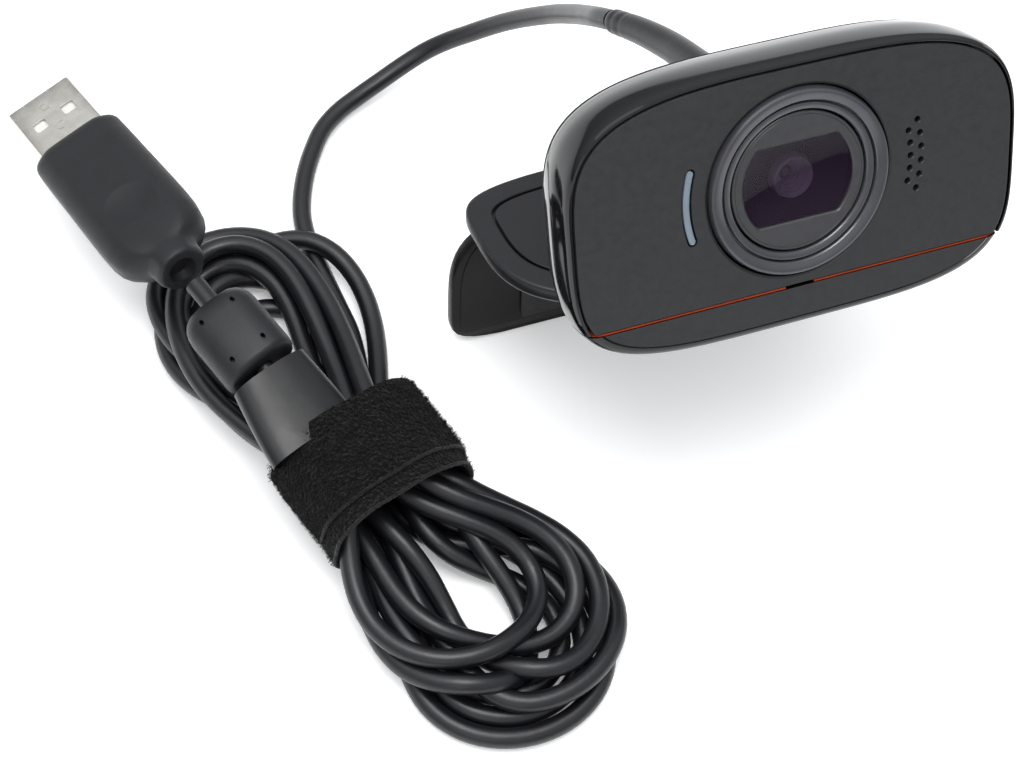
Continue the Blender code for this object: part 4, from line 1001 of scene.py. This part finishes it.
def make_plug():
    place, length = along_axis((-75.3, 24.6, 20.1), (-87.0, 70.0, 10.0), math.radians(14.5))
    end = length - 12.8
    outline_points = 96

    def section(z, wide, tall, square, flat):
        """A body section: a flat top and bottom whose sides slope, as a rounded octagon."""
        points = []
        for k in range(outline_points):
            angle = 2 * math.pi * (k + 0.5) / outline_points
            c, s = math.cos(angle), math.sin(angle)
            reach = (abs(c) ** square + abs(s) ** square) ** (-1 / square)
            x, y = wide * c * reach, tall * s * reach
            slope = max(0.0, abs(x) / wide - flat) / (1 - flat)
            points.append(place(x, y * (1 - 0.30 * slope ** 1.3), z))
        return points
    profile = [(0.0, 3.5, 3.4, 2.1), (0.12, 3.85, 3.7, 2.1), (0.5, 4.15, 3.9, 2.1), (2.0, 4.25, 3.95, 2.2),
               (3.0, 4.3, 4.0, 2.3), (3.5, 4.7, 4.0, 2.4), (4.0, 5.6, 4.05, 2.7), (4.7, 6.55, 4.12, 3.1),
               (5.7, 7.35, 4.2, 3.6), (7.0, 7.9, 4.28, 4.0), (9.0, 8.25, 4.3, 4.4), (12.0, 8.35, 4.3, 4.6),
               (17.0, 8.3, 4.28, 4.8), (24.0, 8.15, 4.2, 5.0), (end - 5.0, 8.08, 3.95, 5.0),
               (end - 1.3, 7.98, 3.7, 5.0), (end - 0.55, 7.75, 3.55, 4.8), (end - 0.15, 7.35, 3.3, 4.4),
               (end, 6.9, 3.0, 4.0)]
    dense = []
    for (z0, a0, b0, q0), (z1, a1, b1, q1) in zip(profile, profile[1:]):
        steps = max(1, round((z1 - z0) / 0.7))
        for k in range(steps):
            t = k / steps
            dense.append((z0 + (z1 - z0) * t, a0 + (a1 - a0) * t, b0 + (b1 - b0) * t, q0 + (q1 - q0) * t))
    dense.append(profile[-1])
    rings = [section(z, a, b, q, 0.62) for z, a, b, q in dense]
    body = publish("plug_body", loft(rings), MOULD, "head", WORLD, replaces=["plug_overmold"],
                   sharp=50)

    def brick(low, high):
        return loft([[place(x, y, z) for x, y in ((low[0], low[1]), (high[0], low[1]), (high[0], high[1]),
                                                  (low[0], high[1]))] for z in (low[2], high[2])])
    ball = bmesh.new()
    bmesh.ops.create_uvsphere(ball, u_segments=96, v_segments=64, radius=18.0)
    ball.transform(Matrix.Translation(place(0, 4.26 + 18.0 - 0.55, 13.6)))
    mouth = turned([(0, -1.0), (2.3, -1.0), (2.3, 0.35), (1.75, 1.6), (0, 1.6)], (0, 0, 0), (0, 0, 1), 48)
    for vert in mouth.verts:
        vert.co = place(*vert.co)
    carve(body, [(brick((-6.3, -2.55, end - 6.3), (6.3, 2.55, end + 4)), "DIFFERENCE"), (ball, "DIFFERENCE"),
                 (mouth, "DIFFERENCE")], WORLD, sharp=50)

    def tube(z, shrink, corner):
        half_x, half_y = 6.0 - shrink, 2.25 - shrink
        points = []
        for sx, sy, first in ((1, 1, 0), (-1, 1, 1), (-1, -1, 2), (1, -1, 3)):
            for k in range(6):
                angle = math.pi / 2 * (first + k / 5)
                points.append(place(sx * (half_x - corner) + corner * math.cos(angle),
                                    sy * (half_y - corner) + corner * math.sin(angle), z))
        return points
    back, front = end - 6.0, length
    rings = [tube(back, 0.0, 0.5), tube(front - 0.35, 0.0, 0.5), tube(front - 0.1, 0.08, 0.45),
             tube(front, 0.22, 0.35), tube(front, 0.3, 0.25), tube(front - 0.2, 0.35, 0.2),
             tube(back, 0.35, 0.2)]
    shell = publish("plug_metal", loft(rings, cyclic=True), STEEL, "head", WORLD, replaces=["plug_shell"],
                    sharp=45)
    tools = []
    for side in (-1, 1):
        for facing in (1, -1):
            outline = [(side * 2.75 + x, front - 6.4 + z) for x, z in superellipse(1.2, 1.25, 1.25, 6, 6, 32)]
            levels = (1.0, 4.0) if facing > 0 else (-4.0, -1.0)
            tools.append((loft([[place(x, y, z) for x, z in outline] for y in levels]), "DIFFERENCE"))
    # The folded seam down the shell, with a dovetail near each end
    seam = [(0.0, front + 0.2), (0.0, front - 2.7), (-0.75, front - 2.7), (-1.0, front - 3.0),
            (-0.75, front - 4.0), (0.55, front - 4.0), (0.55, front - 8.3), (-0.6, front - 8.3),
            (-0.85, front - 9.4), (-0.4, front - 9.7), (0.0, front - 9.8), (0.0, front - 12.5)]
    for (x0, z0), (x1, z1) in zip(seam, seam[1:]):
        run = Vector((x1 - x0, z1 - z0)).normalized() * 0.055
        across = Vector((-run.y, run.x))
        corners = [(x0 - run.x + across.x, z0 - run.y + across.y),
                   (x0 - run.x - across.x, z0 - run.y - across.y),
                   (x1 + run.x - across.x, z1 + run.y - across.y),
                   (x1 + run.x + across.x, z1 + run.y + across.y)]
        tools.append((loft([[place(x, y, z) for x, z in corners] for y in (2.13, 2.6)]), "DIFFERENCE"))
    carve(shell, tools, WORLD, sharp=45)


make_face()
make_rim()
make_housing()
make_lens()
make_relief()
make_chin()
make_clip()
make_leg()
make_tie()
make_choke()
make_label()
make_plug()

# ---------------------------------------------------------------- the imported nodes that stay

KEPT = {
    "detent_tab": GLOSS, "lens_shroud": DARK, "lens_holder": DARK, "signal_chip": SATIN,
    "bottom_plate": SATIN, "swivel_hub": SATIN, "rear_element": ELEMENT, "infrared_filter": ELEMENT,
    "mic_boot": RUBBER, "main_board": BOARD, "housing_screw_left": PIN, "housing_screw_right": PIN,
    "image_sensor": PIN, "shield_can": STEEL, "mic_capsule": PIN, "focus_magnet_ring": PIN,
    "swivel_washer": PIN, "swivel_screw": PIN, "tilt_pin": PIN, "leg_pin": PIN, "focus_coil": COPPER,
    "plug_contact_1": GOLD, "plug_contact_2": GOLD, "plug_contact_3": GOLD, "plug_contact_4": GOLD,
    "board_connector": WHITE, "light_chip": WHITE, "plug_tongue": WHITE,
}
for node, material in KEPT.items():
    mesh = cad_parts[node].data
    mesh.materials.clear()
    mesh.materials.append(material)
